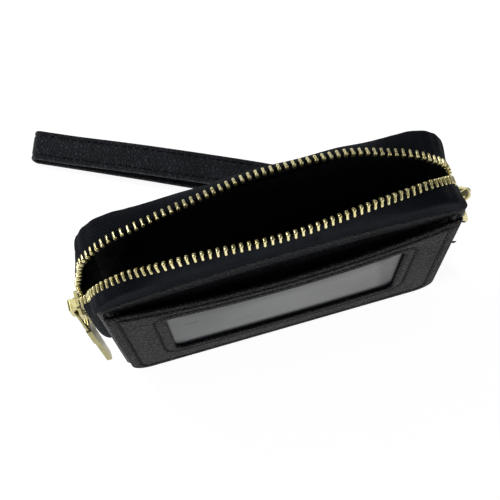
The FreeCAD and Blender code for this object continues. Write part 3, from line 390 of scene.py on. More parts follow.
class Row:
    """One side of the zip: side is -1 in front and 1 at the back."""

    def __init__(self, side, stations):
        self.side, self.stations = side, stations

    def line(self, s):
        place, outward = panel_edge(s)
        x, z = place + outward * hermite(self.stations, s, 2)
        return vec(x, self.side * hermite(self.stations, s, 1), z)

    def frame(self, s):
        """The teeth's place, and the directions along the row and from the tape to the teeth's tips."""
        place = self.line(s)
        along = unit(self.line(s + 0.05) - self.line(s - 0.05))
        edge, outward = panel_edge(s)
        x, z = edge + outward * PLY_GAP
        opened = unit(place - wall(self.side, x, PANEL_DEPTH[self.side] + TAPE_DEPTH, z))
        share = TOOTH_LEAN[self.side] * min(1.0, max(0.0, (hermite(self.stations, s, 1) - 1.3) / 5.0))
        return place, along, across(vec(0, -self.side, 0) * (1 - share) + opened * share, along)

    def hem(self, s):
        """Where the tape starts, behind the leather, and the panel's edge beside it, as places (x, z)."""
        place, outward = panel_edge(s)
        turn = atan2(outward[1], abs(outward[0])) / (pi / 2)
        if turn <= 0:
            return place - outward * SIDE_HEM, place
        if turn >= 1:
            return vec(place[0], leather_edge(place[0]) - HEM_LAP), place
        arc_end = LENGTH / 2 - TOP_RADIUS
        start = vec(LENGTH / 2 - SIDE_HEM, HEIGHT - TOP_RADIUS)
        end = vec(arc_end, leather_edge(arc_end) - HEM_LAP)
        x, z = start + (end - start) * turn
        return vec(copysign(x, outward[0]), z), place

    def on_wall(self, place):
        """The tape's point at a place (x, z): behind the leather, or at the wall's face above its edge."""
        clear = smooth(place[1] - leather_edge(place[0]), -0.4, 0.9)
        depth = PANEL_DEPTH[self.side] + TAPE_DEPTH + (BAND_DEPTH - TAPE_DEPTH) * clear
        return wall(self.side, place[0], depth, place[1])

    def tape_section(self, s, count):
        """Points across the tape: a hem behind the leather, a band up the wall, then the free width."""
        _, _, over = self.frame(s)
        low, high = self.hem(s)
        shares = np.linspace(0, 1, 80)
        places = low + (high - low) * shares[:, None]
        above = places[:, 1] - leather_edge(places[:, 0])
        bare = above > 0
        cross = shares[np.argmax(bare)] if bare.any() and above[-1] > 0.6 else 0.45
        cuts = [0, cross * 0.7] + [cross + (1 - cross) * t for t in (0.02, 0.08, 0.17, 0.32, 0.55, 0.8)]
        points = [self.on_wall(low + (high - low) * t) for t in cuts]
        seam = self.on_wall(high)
        outward = unit(vec(high[0] - low[0], 0, high[1] - low[1]))
        edge = self.line(s) - over * TAPE_EDGE
        reach = np.linalg.norm(edge - seam)
        poles = [seam, seam + outward * 0.25 * reach, edge - over * 0.42 * reach, edge]
        for t in np.linspace(0, 1, count):
            shares = (1 - t) ** 3, 3 * t * (1 - t) ** 2, 3 * t * t * (1 - t), t ** 3
            points.append(sum(share * pole for share, pole in zip(shares, poles)))
        return points

    def tape_grid(self, stations=300, count=15):
        grid = np.array([self.tape_section(ZIP_LENGTH * k / (stations - 1), count) for k in range(stations)])
        along = unit(np.gradient(grid, axis=0))
        normal = unit(np.cross(along, unit(np.gradient(grid, axis=1))))
        s = np.linspace(0, ZIP_LENGTH, stations)[:, None]
        v = np.concatenate([np.zeros(grid.shape[1] - count), np.linspace(0, 1, count)])[None]
        left, right = bump(s, SIDE_RUN + CORNER_RUN / 2, 16), bump(s, ZIP_LENGTH - 12 - CORNER_RUN / 2, 11)
        pleat = (left + right) * 0.16 * np.sin(s * 1.15 + 0.8 * np.sin(s * 0.31))
        long_wave = 0.3 * np.sin(s * 0.17 + 1.3 * self.side) * np.sin(s * 0.061 + 0.7)
        swell = 4 * v * (1 - v)
        belly = vec(-0.3, self.side, 0.3) * ((0.5 + 0.4 * self.side) * left * swell)[..., None]
        return grid + belly + normal * ((pleat + long_wave) * swell * smooth(s, 20, 34))[..., None]

    def tooth_places(self, offset):
        s = np.arange(FIRST_TOOTH, LAST_TOOTH, 0.02)
        run = distances([self.line(a) for a in s])
        due = np.arange(offset, run[-1], TOOTH_PITCH)
        return np.interp(due, run, s)


FRONT, BACK = Row(-1, FRONT_ROW), Row(1, BACK_ROW)


def tooth_shape():
    """One tooth: x from tape to tip, y along the row, z through its thickness."""
    # x, half thickness, half width along the row, shift along the row
    stations = [(-2.42, 0.50, 0.32, 0), (-2.32, 0.74, 0.44, 0), (-1.9, 0.84, 0.46, 0),
                (-1.2, 0.86, 0.45, 0), (-0.7, 0.87, 0.43, 0), (-0.42, 0.88, 0.42, 0.01),
                (-0.22, 0.92, 0.54, 0.07), (0.1, 0.94, 0.64, 0.10), (0.36, 0.84, 0.58, 0.10),
                (0.52, 0.54, 0.38, 0.06)]
    corners = 16
    points = []
    for x, half, width, shift in stations:
        for j in range(corners):
            turn = tau * (j + 0.5) / corners
            c, s = cos(turn), sin(turn)
            squash = (abs(c) ** 4 + abs(s) ** 4) ** -0.25
            points.append((x, shift + width * c * squash, half * s * squash))
    return np.array(points), loft_faces(len(stations), corners)


def tooth_row(row, offset):
    """All of a row's teeth as one mesh."""
    frames = [row.frame(s) for s in row.tooth_places(offset)]
    return placed(tooth_shape(), [(place, over, np.cross(over, along)) for place, along, over in frames])


# ---- materials ----
class Nodes:
    """A new material, with short ways to add its nodes."""

    def __init__(self, name, **principled):
        self.material = bpy.data.materials.new(name)
        self.material.use_nodes = True
        self.tree = self.material.node_tree
        self.shader = self.tree.nodes["Principled BSDF"]
        for socket, value in principled.items():
            self.shader.inputs[socket.replace("_", " ")].default_value = value

    def node(self, kind, *inputs, **named):
        """Inputs fill sockets in order, capitalised names their own sockets; other names are settings."""
        made = self.tree.nodes.new(kind)
        for name, value in named.items():
            if name[0].islower():
                setattr(made, name, value)
        sockets = ((name, value) for name, value in named.items() if name[0].isupper())
        for place, value in [*enumerate(inputs), *sockets]:
            self.give(made.inputs[place], value)
        return made

    def give(self, socket, value):
        if isinstance(value, bpy.types.NodeSocket):
            self.tree.links.new(value, socket)
        elif value is not None:
            socket.default_value = value

    def math(self, operation, *inputs):
        return self.node("ShaderNodeMath", *inputs, operation=operation).outputs[0]

    def add(self, first, second):
        return self.math("ADD", first, second)

    def mul(self, first, second):
        return self.math("MULTIPLY", first, second)

    def wave(self, value, period):
        """A sine wave between 0 and 1."""
        return self.add(self.mul(self.math("SINE", self.mul(value, tau / period)), 0.5), 0.5)

    def object_place(self, stretch=(1, 1, 1)):
        place = self.node("ShaderNodeTexCoord").outputs["Object"]
        return self.node("ShaderNodeMapping", place, None, None, stretch).outputs[0]

    def uv(self):
        split = self.node("ShaderNodeSeparateXYZ", self.node("ShaderNodeTexCoord").outputs["UV"])
        return split.outputs[0], split.outputs[1]

    def noise(self, place, scale, detail=2.0, roughness=0.5):
        return self.node("ShaderNodeTexNoise", Vector=place, Scale=scale, Detail=detail,
                         Roughness=roughness).outputs[0]

    def cells(self, place, scale):
        """The distance to the nearest border between cells."""
        return self.node("ShaderNodeTexVoronoi", feature="DISTANCE_TO_EDGE", Vector=place, Scale=scale,
                         Randomness=1.0).outputs["Distance"]

    def ramp(self, value, low, high, start=0.0, end=1.0):
        """A value taken smoothly from one range to another."""
        return self.node("ShaderNodeMapRange", value, low, high, start, end,
                         interpolation_type="SMOOTHSTEP").outputs[0]

    def mix(self, share, first, second):
        colors = [(*color, 1) if isinstance(color, tuple) else color for color in (first, second)]
        return self.node("ShaderNodeMix", share, *[None] * 5, *colors, data_type="RGBA").outputs[2]

    def bump(self, height, distance, strength=1.0, normal=None):
        return self.node("ShaderNodeBump", Strength=strength, Distance=distance, Height=height,
                         Normal=normal).outputs[0]

    def finish(self, color, roughness, normal=None):
        for name, value in (("Base Color", color), ("Roughness", roughness), ("Normal", normal)):
            self.give(self.shader.inputs[name], value)
        return self.material


def leather(name, dark, light, roughness, grain, depth, gloss):
    """Pebbled leather: rounded grains with fine creases between them, a little paler on the grain tops,
    partly from wear and partly as a painted highlight.
    """
    n = Nodes(name, Specular_IOR_Level=gloss)
    place = n.object_place()
    warp = n.node("ShaderNodeVectorMath", n.node("ShaderNodeTexNoise", place, None, 260.0).outputs[1],
                  (0.0011, 0.0011, 0.0011), operation="MULTIPLY").outputs[0]
    warped = n.node("ShaderNodeVectorMath", place, warp, operation="ADD").outputs[0]
    large = n.ramp(n.cells(warped, grain), 0.0, 0.32)
    small = n.ramp(n.cells(warped, grain * 2.6), 0.0, 0.3)
    soft = n.noise(place, 70.0, 3.0)
    height = n.add(n.mul(large, 0.7), n.mul(small, 0.3))
    # Partly wear, partly painted highlight: the grain tops are paler, standing in for light catching the
    # pebbles.
    wear_and_highlight = n.mul(height, n.ramp(soft, 0.3, 0.75, 0.35, 1.0))
    color = n.mix(wear_and_highlight, dark, light)
    rough = n.add(n.ramp(height, 0.0, 1.0, roughness + 0.14, roughness), n.ramp(soft, 0.2, 0.8, -0.05, 0.06))
    undulation = n.bump(n.noise(place, 120.0, 2.0), 0.0012, 0.25)
    return n.finish(color, rough, n.bump(height, depth, 0.9, undulation))


def woven_tape(name, dark, light):
    """Fine herringbone twill that follows the tape, from its UV in metres."""
    n = Nodes(name, Specular_IOR_Level=0.06, Sheen_Weight=0.012, Sheen_Roughness=0.45,
              Sheen_Tint=(0.55, 0.6, 0.75, 1))
    along, over = n.uv()
    rib = n.wave(n.add(along, n.math("PINGPONG", over, 0.0016)), 0.0011)
    height = n.add(n.mul(rib, 0.65), n.mul(n.wave(over, 0.0005), 0.35))
    blotch = n.noise(n.object_place(), 90.0, 3.0)
    color = n.mix(n.mul(height, n.ramp(blotch, 0.25, 0.8, 0.5, 1.0)), dark, light)
    fuzz = n.noise(n.object_place(), 3800.0, 2.0)
    normal = n.bump(fuzz, 0.00005, 0.5, n.bump(height, 0.00022, 1.0))
    return n.finish(color, n.ramp(blotch, 0.2, 0.8, 0.86, 0.74), normal)


def lining_cloth(name, dark, light):
    """Smooth cloth with a faint tone-on-tone pattern of small lozenges."""
    n = Nodes(name, Specular_IOR_Level=0.15, Sheen_Weight=0.02, Sheen_Roughness=0.4)
    along, over = n.uv()
    a = n.math("PINGPONG", n.add(along, n.mul(over, 0.6)), 0.0045)
    b = n.math("PINGPONG", n.math("SUBTRACT", along, n.mul(over, 0.6)), 0.0045)
    lozenge = n.add(n.ramp(a, 0.0009, 0.0014, 1.0, 0.0), n.ramp(b, 0.0009, 0.0014, 1.0, 0.0))
    lozenge = n.math("MINIMUM", lozenge, 1.0)
    twill = n.math("SINE", n.mul(n.add(along, over), tau / 0.0006))
    soft = n.noise(n.object_place(), 60.0, 3.0)
    color = n.mix(n.mul(lozenge, n.ramp(soft, 0.3, 0.7, 0.35, 1.0)), dark, light)
    normal = n.bump(twill, 0.00003, 0.5, n.bump(soft, 0.002, 0.35))
    return n.finish(color, n.ramp(lozenge, 0.0, 1.0, 0.72, 0.66), normal)


def gold(name, base, deep, roughness):
    """Polished plating with a slightly uneven tone and fine scratches in its gloss."""
    n = Nodes(name, Metallic=1.0)
    soft = n.noise(n.object_place(), 320.0, 3.0)
    scratch = n.noise(n.object_place((1, 1, 7)), 900.0, 3.0)
    color = n.mix(n.ramp(soft, 0.25, 0.75), deep, base)
    rough = n.add(n.ramp(soft, 0.2, 0.8, roughness, roughness + 0.1), n.mul(scratch, 0.1))
    return n.finish(color, rough, n.bump(scratch, 0.000004, 0.2))


def thread(name, dark, light):
    """Twisted thread."""
    n = Nodes(name, Specular_IOR_Level=0.1, Sheen_Weight=0.01, Sheen_Roughness=0.4)
    x, y, z = n.node("ShaderNodeSeparateXYZ", n.object_place()).outputs
    twist = n.wave(n.add(n.add(x, y), n.mul(z, 1.4)), 0.0004)
    return n.finish(n.mix(twist, dark, light), n.ramp(twist, 0, 1, 0.62, 0.45), n.bump(twist, 0.00008, 0.7))


SCUFF_SLOPE, SCUFF_LEVEL, SCUFF_MIDDLE = 0.185, 52.8, -34.0


def clear_sheet(name):
    """Soft clear plastic over dark cloth: a grey field painted in as its reflection, paler towards +x, glossy
    and a little uneven, with painted shade as a dark rim along its right, bottom and left edges.
    """
    n = Nodes(name, Specular_IOR_Level=0.07, Coat_Weight=0.03, Coat_Roughness=0.14, IOR=1.5)
    along, over = n.uv()
    x, z = n.mul(along, 1000.0), n.mul(over, 1000.0)
    # Painted shade: masks that darken the sheet along its right, left and bottom edges, where the window's
    # leather walls shade it.
    right = n.ramp(n.add(x, n.mul(z, 0.1)), WINDOW_HALF - 5.5, WINDOW_HALF - 1.0, 1.0, 0.0)
    left = n.ramp(x, -WINDOW_HALF - 0.5, 1.2 - WINDOW_HALF)
    low = n.ramp(z, WINDOW_BASE + 2.2, WINDOW_BASE + 5.0)
    painted_reflection_field = n.mul(n.mul(right, left), low)
    # Painted reflection: the grey stands in for the sheet's reflection and grows paler towards +x.
    tone = n.ramp(x, -45.0, 45.0)
    soft = n.noise(n.object_place(), 28.0, 2.0)
    grey = n.mix(tone, (0.062, 0.066, 0.068), (0.096, 0.102, 0.096))
    # Outside the field the sheet is painted dark as shade; inside it gets the painted reflection grey.
    color = n.mix(painted_reflection_field, (0.012, 0.013, 0.018), grey)
    color = n.mix(n.ramp(soft, 0.2, 0.8, 0.0, 0.08), color, (0.05, 0.053, 0.055))
    off_line = n.math("ABSOLUTE", n.math("SUBTRACT", z, n.add(n.mul(x, SCUFF_SLOPE), SCUFF_LEVEL)))
    off_middle = n.math("ABSOLUTE", n.math("SUBTRACT", x, SCUFF_MIDDLE))
    scuff = n.mul(n.ramp(off_line, 0.3, 0.7, 1.0, 0.0), n.ramp(off_middle, 1.8, 2.8, 1.0, 0.0))
    color = n.mix(scuff, color, (0.006, 0.006, 0.008))
    return n.finish(color, n.ramp(soft, 0.2, 0.8, 0.22, 0.34), n.bump(soft, 0.0006, 0.2))


def fibre_board(name):
    n = Nodes(name, Specular_IOR_Level=0.3)
    place = n.object_place()
    fibre = n.noise(n.object_place((1, 1, 4)), 700.0, 5.0, 0.7)
    color = n.mix(fibre, (0.22, 0.18, 0.13), (0.46, 0.40, 0.31))
    return n.finish(color, n.ramp(n.noise(place, 90.0), 0.2, 0.8, 0.8, 0.92), n.bump(fibre, 0.0001, 0.6))


def floor_paint(name):
    n = Nodes(name, Specular_IOR_Level=0.15, Emission_Color=(1, 1, 1, 1), Emission_Strength=0.9)
    soft = n.noise(n.object_place(), 2.0, 2.0)
    return n.finish(n.mix(soft, (0.40, 0.40, 0.40), (0.42, 0.42, 0.42)), n.ramp(soft, 0, 1, 0.9, 0.95))


# Finishes: the slot's name, and the material.
LEATHER_BLACK = "leather_black", leather("leather_black", (0.0015, 0.0020, 0.0032), (0.034, 0.037, 0.047),
                                         0.4, 700.0, 0.0006, 0.4)
LEATHER_POCKET = "leather_pocket", leather("leather_pocket", (0.0010, 0.0012, 0.0015), (0.030, 0.031, 0.033),
                                           0.46, 620.0, 0.0007, 0.08)
# Painted light: a paler copy of leather_black, used on the strap, its keeper and the ring tab.
LEATHER_STRAP_LIT = "leather_black", leather("leather_strap_lit", (0.0042, 0.0054, 0.0082), (0.063, 0.071, 0.088),
                                         0.42, 640.0, 0.0006, 0.3)
TAPE_CLOTH = "woven_tape", woven_tape("woven_tape", (0.0010, 0.0016, 0.0030), (0.017, 0.020, 0.028))
LINING_CLOTH = ("lining_fabric",
                lining_cloth("lining_fabric", (0.0012, 0.0014, 0.0032), (0.0042, 0.005, 0.008)))
GOLD = "gold_metal", gold("gold_metal", (0.74, 0.68, 0.36), (0.56, 0.50, 0.23), 0.2)
# Copies of gold_metal in other brightnesses: the slider and the pull are painted darker as painted shade, the
# teeth paler as painted light.
GOLD_SLIDER_SHADED = "gold_metal", gold("gold_slider_shaded", (0.60, 0.55, 0.28), (0.45, 0.40, 0.18), 0.2)
GOLD_PULL_SHADED = "gold_metal", gold("gold_pull_shaded", (0.37, 0.34, 0.15), (0.28, 0.25, 0.105), 0.22)
GOLD_TEETH_LIT = "gold_metal", gold("gold_teeth_lit", (0.95, 0.87, 0.50), (0.80, 0.70, 0.33), 0.2)
STEEL = "spring_steel", gold("spring_steel", (0.55, 0.55, 0.56), (0.42, 0.42, 0.44), 0.28)
THREAD = "thread", thread("thread", (0.0006, 0.0007, 0.001), (0.004, 0.0042, 0.005))
CLEAR_SHEET = "clear_sheet", clear_sheet("clear_sheet")
FIBRE = "board", fibre_board("board")

# ---- leather panels and linings ----
PANEL = (LENGTH / 2, 0.0, LEATHER_TOP, BASE_RADIUS, 3.0)
PANEL_SEAM = 2.6


def panel_surface(side):
    """The outer face: a sewn groove near the edge, rolled ridges beside it, a slight crown at the back."""
    def sink(x, z, d):
        top = smooth(z, 68, 76)
        groove = 0.50 * bump(d, PANEL_SEAM, 0.5) + 0.25 * top * bump(d, 5.8, 0.6)
        turned = -0.28 * bump(d, 1.3, 0.7) - 0.26 * top * bump(d, 4.2, 0.8)
        crown = -0.35 * smooth(d, 3.5, 22) if side > 0 else 0.0
        uneven = 0.10 * wave_noise(x, side * 40.0, z, 0.05, 3.0) * smooth(d, 0, 6) if side > 0 else 0.0
        return groove + turned + crown + uneven
    return sink


for side, name in ((-1, "front"), (1, "back")):
    depth = PANEL_DEPTH[side]
    plate_piece(name + "_panel_leather", side, PANEL, depth, LEATHER, LEATHER_BLACK, [name + "_panel"],
                panel_surface(side), warp=arched)
    sizes = (LENGTH / 2 - LINING_INSET, LINING_INSET, HEIGHT - LINING_INSET, BASE_RADIUS - LINING_INSET,
             TOP_RADIUS - LINING_INSET)
    cloth = plate_piece("lining_%s_cloth" % name, side, sizes, depth + LEATHER + BOARD + PLY_GAP, LINING,
                        LINING_CLOTH, ["lining_" + name])

SLIP_LOW = LINING_INSET + 8.0
cloth = plate_piece("lining_pocket_cloth", 1, (52.0, SLIP_LOW, SLIP_LOW + 52.0, 4.0, 1.0),
                    LEATHER + BOARD + PLY_GAP + LINING + POCKET_GAP, LINING, LINING_CLOTH, ["lining_pocket"],
                    lambda x, z, d: -0.7 * smooth(z, 30, 62) * smooth(d, 0, 3))

# ---- gusset ----


def gusset_grid(inset, clear, right_top, count=13):
    """A U-shaped strip between the walls: down the right side, along the bottom and up the left side."""
    half, low, radius = LENGTH / 2 - GUSSET_IN - inset, inset, BASE_RADIUS - GUSSET_IN - inset
    flat, round_top = half - radius, low + radius
    turns = np.linspace(0, pi / 2, 12)[1:]
    path = [(half, z) for z in np.linspace(right_top, round_top, 36)]
    path += [(flat + radius * cos(t), round_top - radius * sin(t)) for t in turns]
    path += [(x, low) for x in np.linspace(flat, -flat, 60)[1:]]
    path += [(-flat - radius * sin(t), round_top - radius * cos(t)) for t in turns]
    path += [(-half, z) for z in np.linspace(round_top, GUSSET_LEFT, 26)[1:]]
    grid = []
    for x, z in path:
        reach = (SEAM_HALF - clear) / cos(LEAN) + z * tan(LEAN) - 0.06
        fold = 0.55 * smooth(z, 8, 26) * (1 - smooth(z, 60, 70)) * smooth(abs(x), half - 3, half)
        grid.append([(x - copysign(fold * (1 - t * t), x), t * reach, z) for t in np.linspace(-1, 1, count)])
    return np.array(grid)


sheet_piece("gusset_leather", gusset_grid(LEATHER / 2, 0.0, GUSSET_RIGHT), LEATHER, LEATHER_BLACK, ["gusset"])
inside = gusset_grid(LEATHER + PLY_GAP + LINING / 2, BOARD + 0.4, LINING_RIGHT)
cloth = sheet_piece("lining_gusset_cloth", inside, LINING, LINING_CLOTH, ["lining_gusset"])

# ---- window pocket ----
POCKET = (POCKET_LENGTH / 2, 0.0, POCKET_HEIGHT, BASE_RADIUS - 1, 1.0)
WINDOW = (WINDOW_HALF, WINDOW_BASE, WINDOW_TOP, WINDOW_RADIUS, WINDOW_RADIUS)
WINDOW_SEAM, SEAM_IN, SEAM_TURN, SEAM_TOP = 4.2, 3.7, 3.8, POCKET_HEIGHT - 2.0


def pocket_sink(x, z, d):
    """How much the pocket's leather sinks: its edge seam, the window's seam and the folded mouth."""
    edge_seam = 0.62 * bump(d, SEAM_IN, 0.52) * (1 - smooth(z, POCKET_HEIGHT - 3.5, POCKET_HEIGHT - 1.5))
    top_seam = 0.42 * bump(z, POCKET_HEIGHT - 3.2, 0.45) + 0.42 * bump(z, POCKET_HEIGHT - 5.6, 0.5)
    top_seam = top_seam - 0.30 * bump(z, POCKET_HEIGHT - 1.8, 0.7) - 0.28 * bump(z, POCKET_HEIGHT - 4.4, 0.55)
    out = -edge_distance(x, z, *WINDOW)
    window_seam = 0.58 * bump(out, WINDOW_SEAM, 0.50)
    rolled = -0.22 * bump(out, 1.6, 1.3)
    uneven = 0.10 * wave_noise(x, 3.0, z, 0.07, 5.0)
    return edge_seam + top_seam + window_seam + rolled + uneven * smooth(d, 0, 5) * smooth(out, 0, 5)


# Insets of the leather's loops from the window's edge and from the pocket's, close together at the seams.
PAST_WINDOW = (0.25, 0.6, 1.1, 1.6, 2.1, 2.7, 3.3, 3.7, 4.0, 4.2, 4.4, 4.7)
PAST_EDGE = (6.5, 5.8, 5.4, 5.0, 4.6, 4.2, 3.95, 3.7, 3.45, 3.2, 2.8, 2.2, 1.6, 1.0, 0.6, 0.3, 0.1)
half_ply = LEATHER / 2
face = [outline(*WINDOW, inset=-(half_ply + inset)) for inset in PAST_WINDOW]
beyond = [outline(*POCKET, inset=half_ply + inset) for inset in PAST_EDGE]
face += [face[-1] + (beyond[0] - face[-1]) * share for share in (0.25, 0.5, 0.75)] + beyond
turns = [pi * k / 7 for k in range(1, 7)]
layers = [(flat, 0.0, pocket_sink) for flat in face]
layers += [(outline(*POCKET, inset=half_ply * (1 - sin(t))), half_ply - half_ply * cos(t), None)
           for t in turns]
layers += [(flat, LEATHER, None) for flat in reversed(face)]
layers += [(outline(*WINDOW, inset=-half_ply * (1 - sin(t))), half_ply + half_ply * cos(t), None)
           for t in turns]
ply_piece("id_panel_leather", -1, POCKET, layers, LEATHER_POCKET, ["id_panel"], pocket_bow, hollow=True)
LAP = 4.4
window_sizes = (WINDOW_HALF + LAP, WINDOW_BASE - LAP, WINDOW_TOP + LAP, 1.0, 1.0)


def window_surface(x, z, d):
    """The clear sheet swells a little into its window."""
    inside = edge_distance(x, z, *WINDOW)
    return -0.34 * smooth(inside, 0.5, 9) - 0.05 * wave_noise(x, 1.0, z, 0.03, 2.0) * smooth(inside, 0, 6)


window = plate_piece("id_window_sheet", -1, window_sizes, LEATHER, CLEAR, CLEAR_SHEET, ["id_window"],
                     window_surface, pocket_bow)
slot_sizes = (POCKET_LENGTH / 2 - LINING_INSET, LINING_INSET, POCKET_HEIGHT - LINING_INSET,
              BASE_RADIUS - LINING_INSET, 1.0)
cloth = plate_piece("id_slot_cloth", -1, slot_sizes, LEATHER + CLEAR + POCKET_GAP, LINING, LINING_CLOTH,
                    ["id_slot_lining"], bow=pocket_bow)


def face_line(side, points, depth, bow=None):
    """A line in the outer face of a wall, and its outward normals, from places (x, z)."""
    x, z = np.array(points, float).T
    step = 0.2

    def at(px, pz):
        return wall(side, px, depth - (bow(px, pz) if bow else 0.0), pz)

    level, up = at(x + step, z) - at(x - step, z), at(x, z + step) - at(x, z - step)
    return at(x, z), -side * unit(np.cross(level, up))


def closed(points):
    return np.concatenate([points, points[:1]])


side_x = POCKET_LENGTH / 2 - SEAM_IN
turn_x, turn_z = side_x - SEAM_TURN, SEAM_IN + SEAM_TURN
angles = np.radians(range(0, 91, 10))
corner = SEAM_TURN * np.stack([np.cos(angles), np.sin(angles)], axis=-1)
edge_run = np.concatenate([
    np.linspace((-side_x, SEAM_TOP), (-side_x, turn_z), 40), vec(-turn_x, turn_z) - corner,
    np.linspace((-turn_x, SEAM_IN), (turn_x, SEAM_IN), 80), vec(turn_x, turn_z) + corner[:, ::-1] * (1, -1),
    np.linspace((side_x, turn_z), (side_x, SEAM_TOP), 40)])
seam = seam_places(*face_line(-1, edge_run, 0.34, pocket_bow))
LOOSE_ENDS = ((51.0, vec(0.9, -0.35, 0.2)), (50.4, vec(0.8, -0.1, -0.5)), (70.6, vec(0.85, -0.3, -0.35)))
for loose_z, tip in LOOSE_ENDS:
    (edge_place,), _ = face_line(-1, [(POCKET_LENGTH / 2 + 0.5, loose_z)], 0.5, pocket_bow)
    seam.append((edge_place, unit(tip), across(vec(0, -1, 0), unit(tip))))
stitch_piece("pocket_stitches", "wallet", seam, ["id_panel_stitching"])
around = face_line(-1, closed(outline(*WINDOW, inset=-WINDOW_SEAM)), 0.32, pocket_bow)
stitch_piece("window_stitches", "wallet", seam_places(*around), ["window_stitching"])

for side, name in ((-1, "front"), (1, "back")):
    run = np.stack(arched(*closed(outline(*PANEL, inset=PANEL_SEAM)).T), axis=-1)
    if side < 0:
        top = [p for p in run if p[1] > POCKET_HEIGHT - 1.2 and abs(p[0]) < LENGTH / 2 - PANEL_SEAM - 0.2]
        run = sorted(top, key=lambda p: p[0])
    line = face_line(side, run, PANEL_DEPTH[side] + 0.28)
    stitch_piece(name + "_panel_stitches", "wallet", seam_places(*line))

# ---- zip: tapes and teeth ----
for row, name, offset in ((FRONT, "front", 0.0), (BACK, "back", TOOTH_PITCH / 2)):
    cloth = sheet_piece("zip_tape_%s_cloth" % name, row.tape_grid(), TAPE, TAPE_CLOTH,
                        ["zip_tape_" + name, "zip_band_" + name])
    teeth, faces = tooth_row(row, offset)
    piece("zip_teeth_%s_metal" % name, teeth, faces, "wallet", GOLD_TEETH_LIT, ["zip_teeth_" + name])

# ---- wrist strap ----
STRAP_WIDTH, STRAP_THICK, STITCH_IN = 13.4, 1.9, 2.2
EYE_CENTRE, EYE_DIRECTION = vec(61.2771, 21.6162, 19.6091), unit(vec(0.57791, 0.764058, 0.286766))
STRAP_LATERAL = vec(0.455, 0.89, 0)
STRAP_SPINE = [(54, 29.0, 11.5), (43, 34.5, 5.2), (22, 45.5, 4.3), (-8, 61, 4.9), (-42, 78.5, 4.5),
               (-66, 91, 3.4), (-77.5, 97, 3.1)]
STRAP_GAPS = [(0, 2.35), (9, 1.15), (18, 1.15), (40, 2.4), (85, 3.3), (125, 2.6), (152, 1.9), (200, 1.9)]
EYE_FOLD, FAR_FOLD, KEEPER_AT, KEEPER_LENGTH = 2.35, 1.9, 13.5, 8.0
FOLD_SKEW = 2.1


def clamped_spline(points, start, end):
    """A curve through points with given tangents at its ends: fine places and distances along it."""
    points = np.array(points, float)
    spans = np.diff(distances(points))
    count = len(points)
    matrix, right = np.zeros((count, count)), np.zeros((count, 3))
    matrix[0, 0] = matrix[-1, -1] = 1
    right[0], right[-1] = start, end
    for i in range(1, count - 1):
        before, after = spans[i - 1], spans[i]
        matrix[i, i - 1], matrix[i, i], matrix[i, i + 1] = after, 2 * (before + after), before
        right[i] = 3 * (after * (points[i] - points[i - 1]) / before
                        + before * (points[i + 1] - points[i]) / after)
    slopes = np.linalg.solve(matrix, right)
    samples = []
    for i in range(count - 1):
        for t in np.linspace(0, 1, 200, endpoint=i == count - 2):
            samples.append(cubic(t, spans[i], points[i], slopes[i], points[i + 1], slopes[i + 1]))
    return np.array(samples), distances(samples)


START = across(vec(*STRAP_SPINE[0]) - EYE_CENTRE, EYE_DIRECTION)
END = unit(vec(*STRAP_SPINE[-1]) - vec(*STRAP_SPINE[-2]))
SPINE, SPINE_RUN = clamped_spline([EYE_CENTRE] + [vec(*p) for p in STRAP_SPINE], START, END)
SPINE_LENGTH = SPINE_RUN[-1]


def strap_frame(run):
    run = min(max(run, 0.0), SPINE_LENGTH)
    place, before, ahead = [along_line(at, SPINE_RUN, SPINE)
                            for at in (run, max(run - 0.2, 0), min(run + 0.2, SPINE_LENGTH))]
    along = unit(ahead - before)
    share = min(1.0, run / 40.0)
    lateral = across(EYE_DIRECTION * (1 - share) + STRAP_LATERAL * share, along)
    return place, along, lateral, -unit(np.cross(lateral, along))


def layer_point(run, side):
    place, along, lateral, up = strap_frame(run)
    return place + up * side * hermite(STRAP_GAPS, run, 1), lateral


def fold_skew(place, off_middle):
    """The far fold is a little askew: the strap's front edge turns back before its rear edge."""
    share = smooth(-place[..., 0], 45.0, 79.0) * (off_middle / STRAP_WIDTH - 0.5)
    return END * (FOLD_SKEW * share)[..., None]


def strap_fold(run, radius, steps=12):
    """The strap turning back on itself: round the eye where the radius is below 0, or at its far end."""
    place, along, lateral, up = strap_frame(run)
    turns = [pi * k / steps for k in range(1, steps)]
    return [(place + along * radius * sin(turn) + up * radius * cos(turn), lateral) for turn in turns]


def strap_course(stations=150):
    """Places and lateral directions along the strap, from the keeper round the eye and back to the keeper."""
    lower = SPINE_LENGTH - KEEPER_AT - 0.2
    return ([layer_point(KEEPER_AT * (1 - k / 12), -1) for k in range(12)] + strap_fold(0, -EYE_FOLD)
            + [layer_point(SPINE_LENGTH * k / (stations - 1), 1) for k in range(stations)]
            + strap_fold(SPINE_LENGTH, FAR_FOLD)
            + [layer_point(SPINE_LENGTH - lower * k / (stations - 1), -1) for k in range(stations)])


def strap_profile():
    """The strap's section: places across and through, with rounded edges and a groove along each seam."""
    half, thick = STRAP_WIDTH / 2, STRAP_THICK / 2
    xs = [-half + thick, -half + 1.5, -half + 1.9, -half + 2.2, -half + 2.5, -half + 2.9, -2.0, 0.0]
    xs = xs + [-x for x in xs[-2::-1]]
    face = []
    for x in xs:
        groove = 0.42 * exp(-((abs(x) - (half - STITCH_IN)) / 0.38) ** 2)
        pad = 0.10 * (1 - (x / half) ** 2)
        face.append((x, thick - 0.08 - groove + pad))
    right = [(half - thick + thick * sin(t), thick * cos(t)) for t in np.linspace(0, pi, 9)[1:-1]]
    return face + right + [(x, -y) for x, y in face[::-1]] + [(-x, -y) for x, y in right]


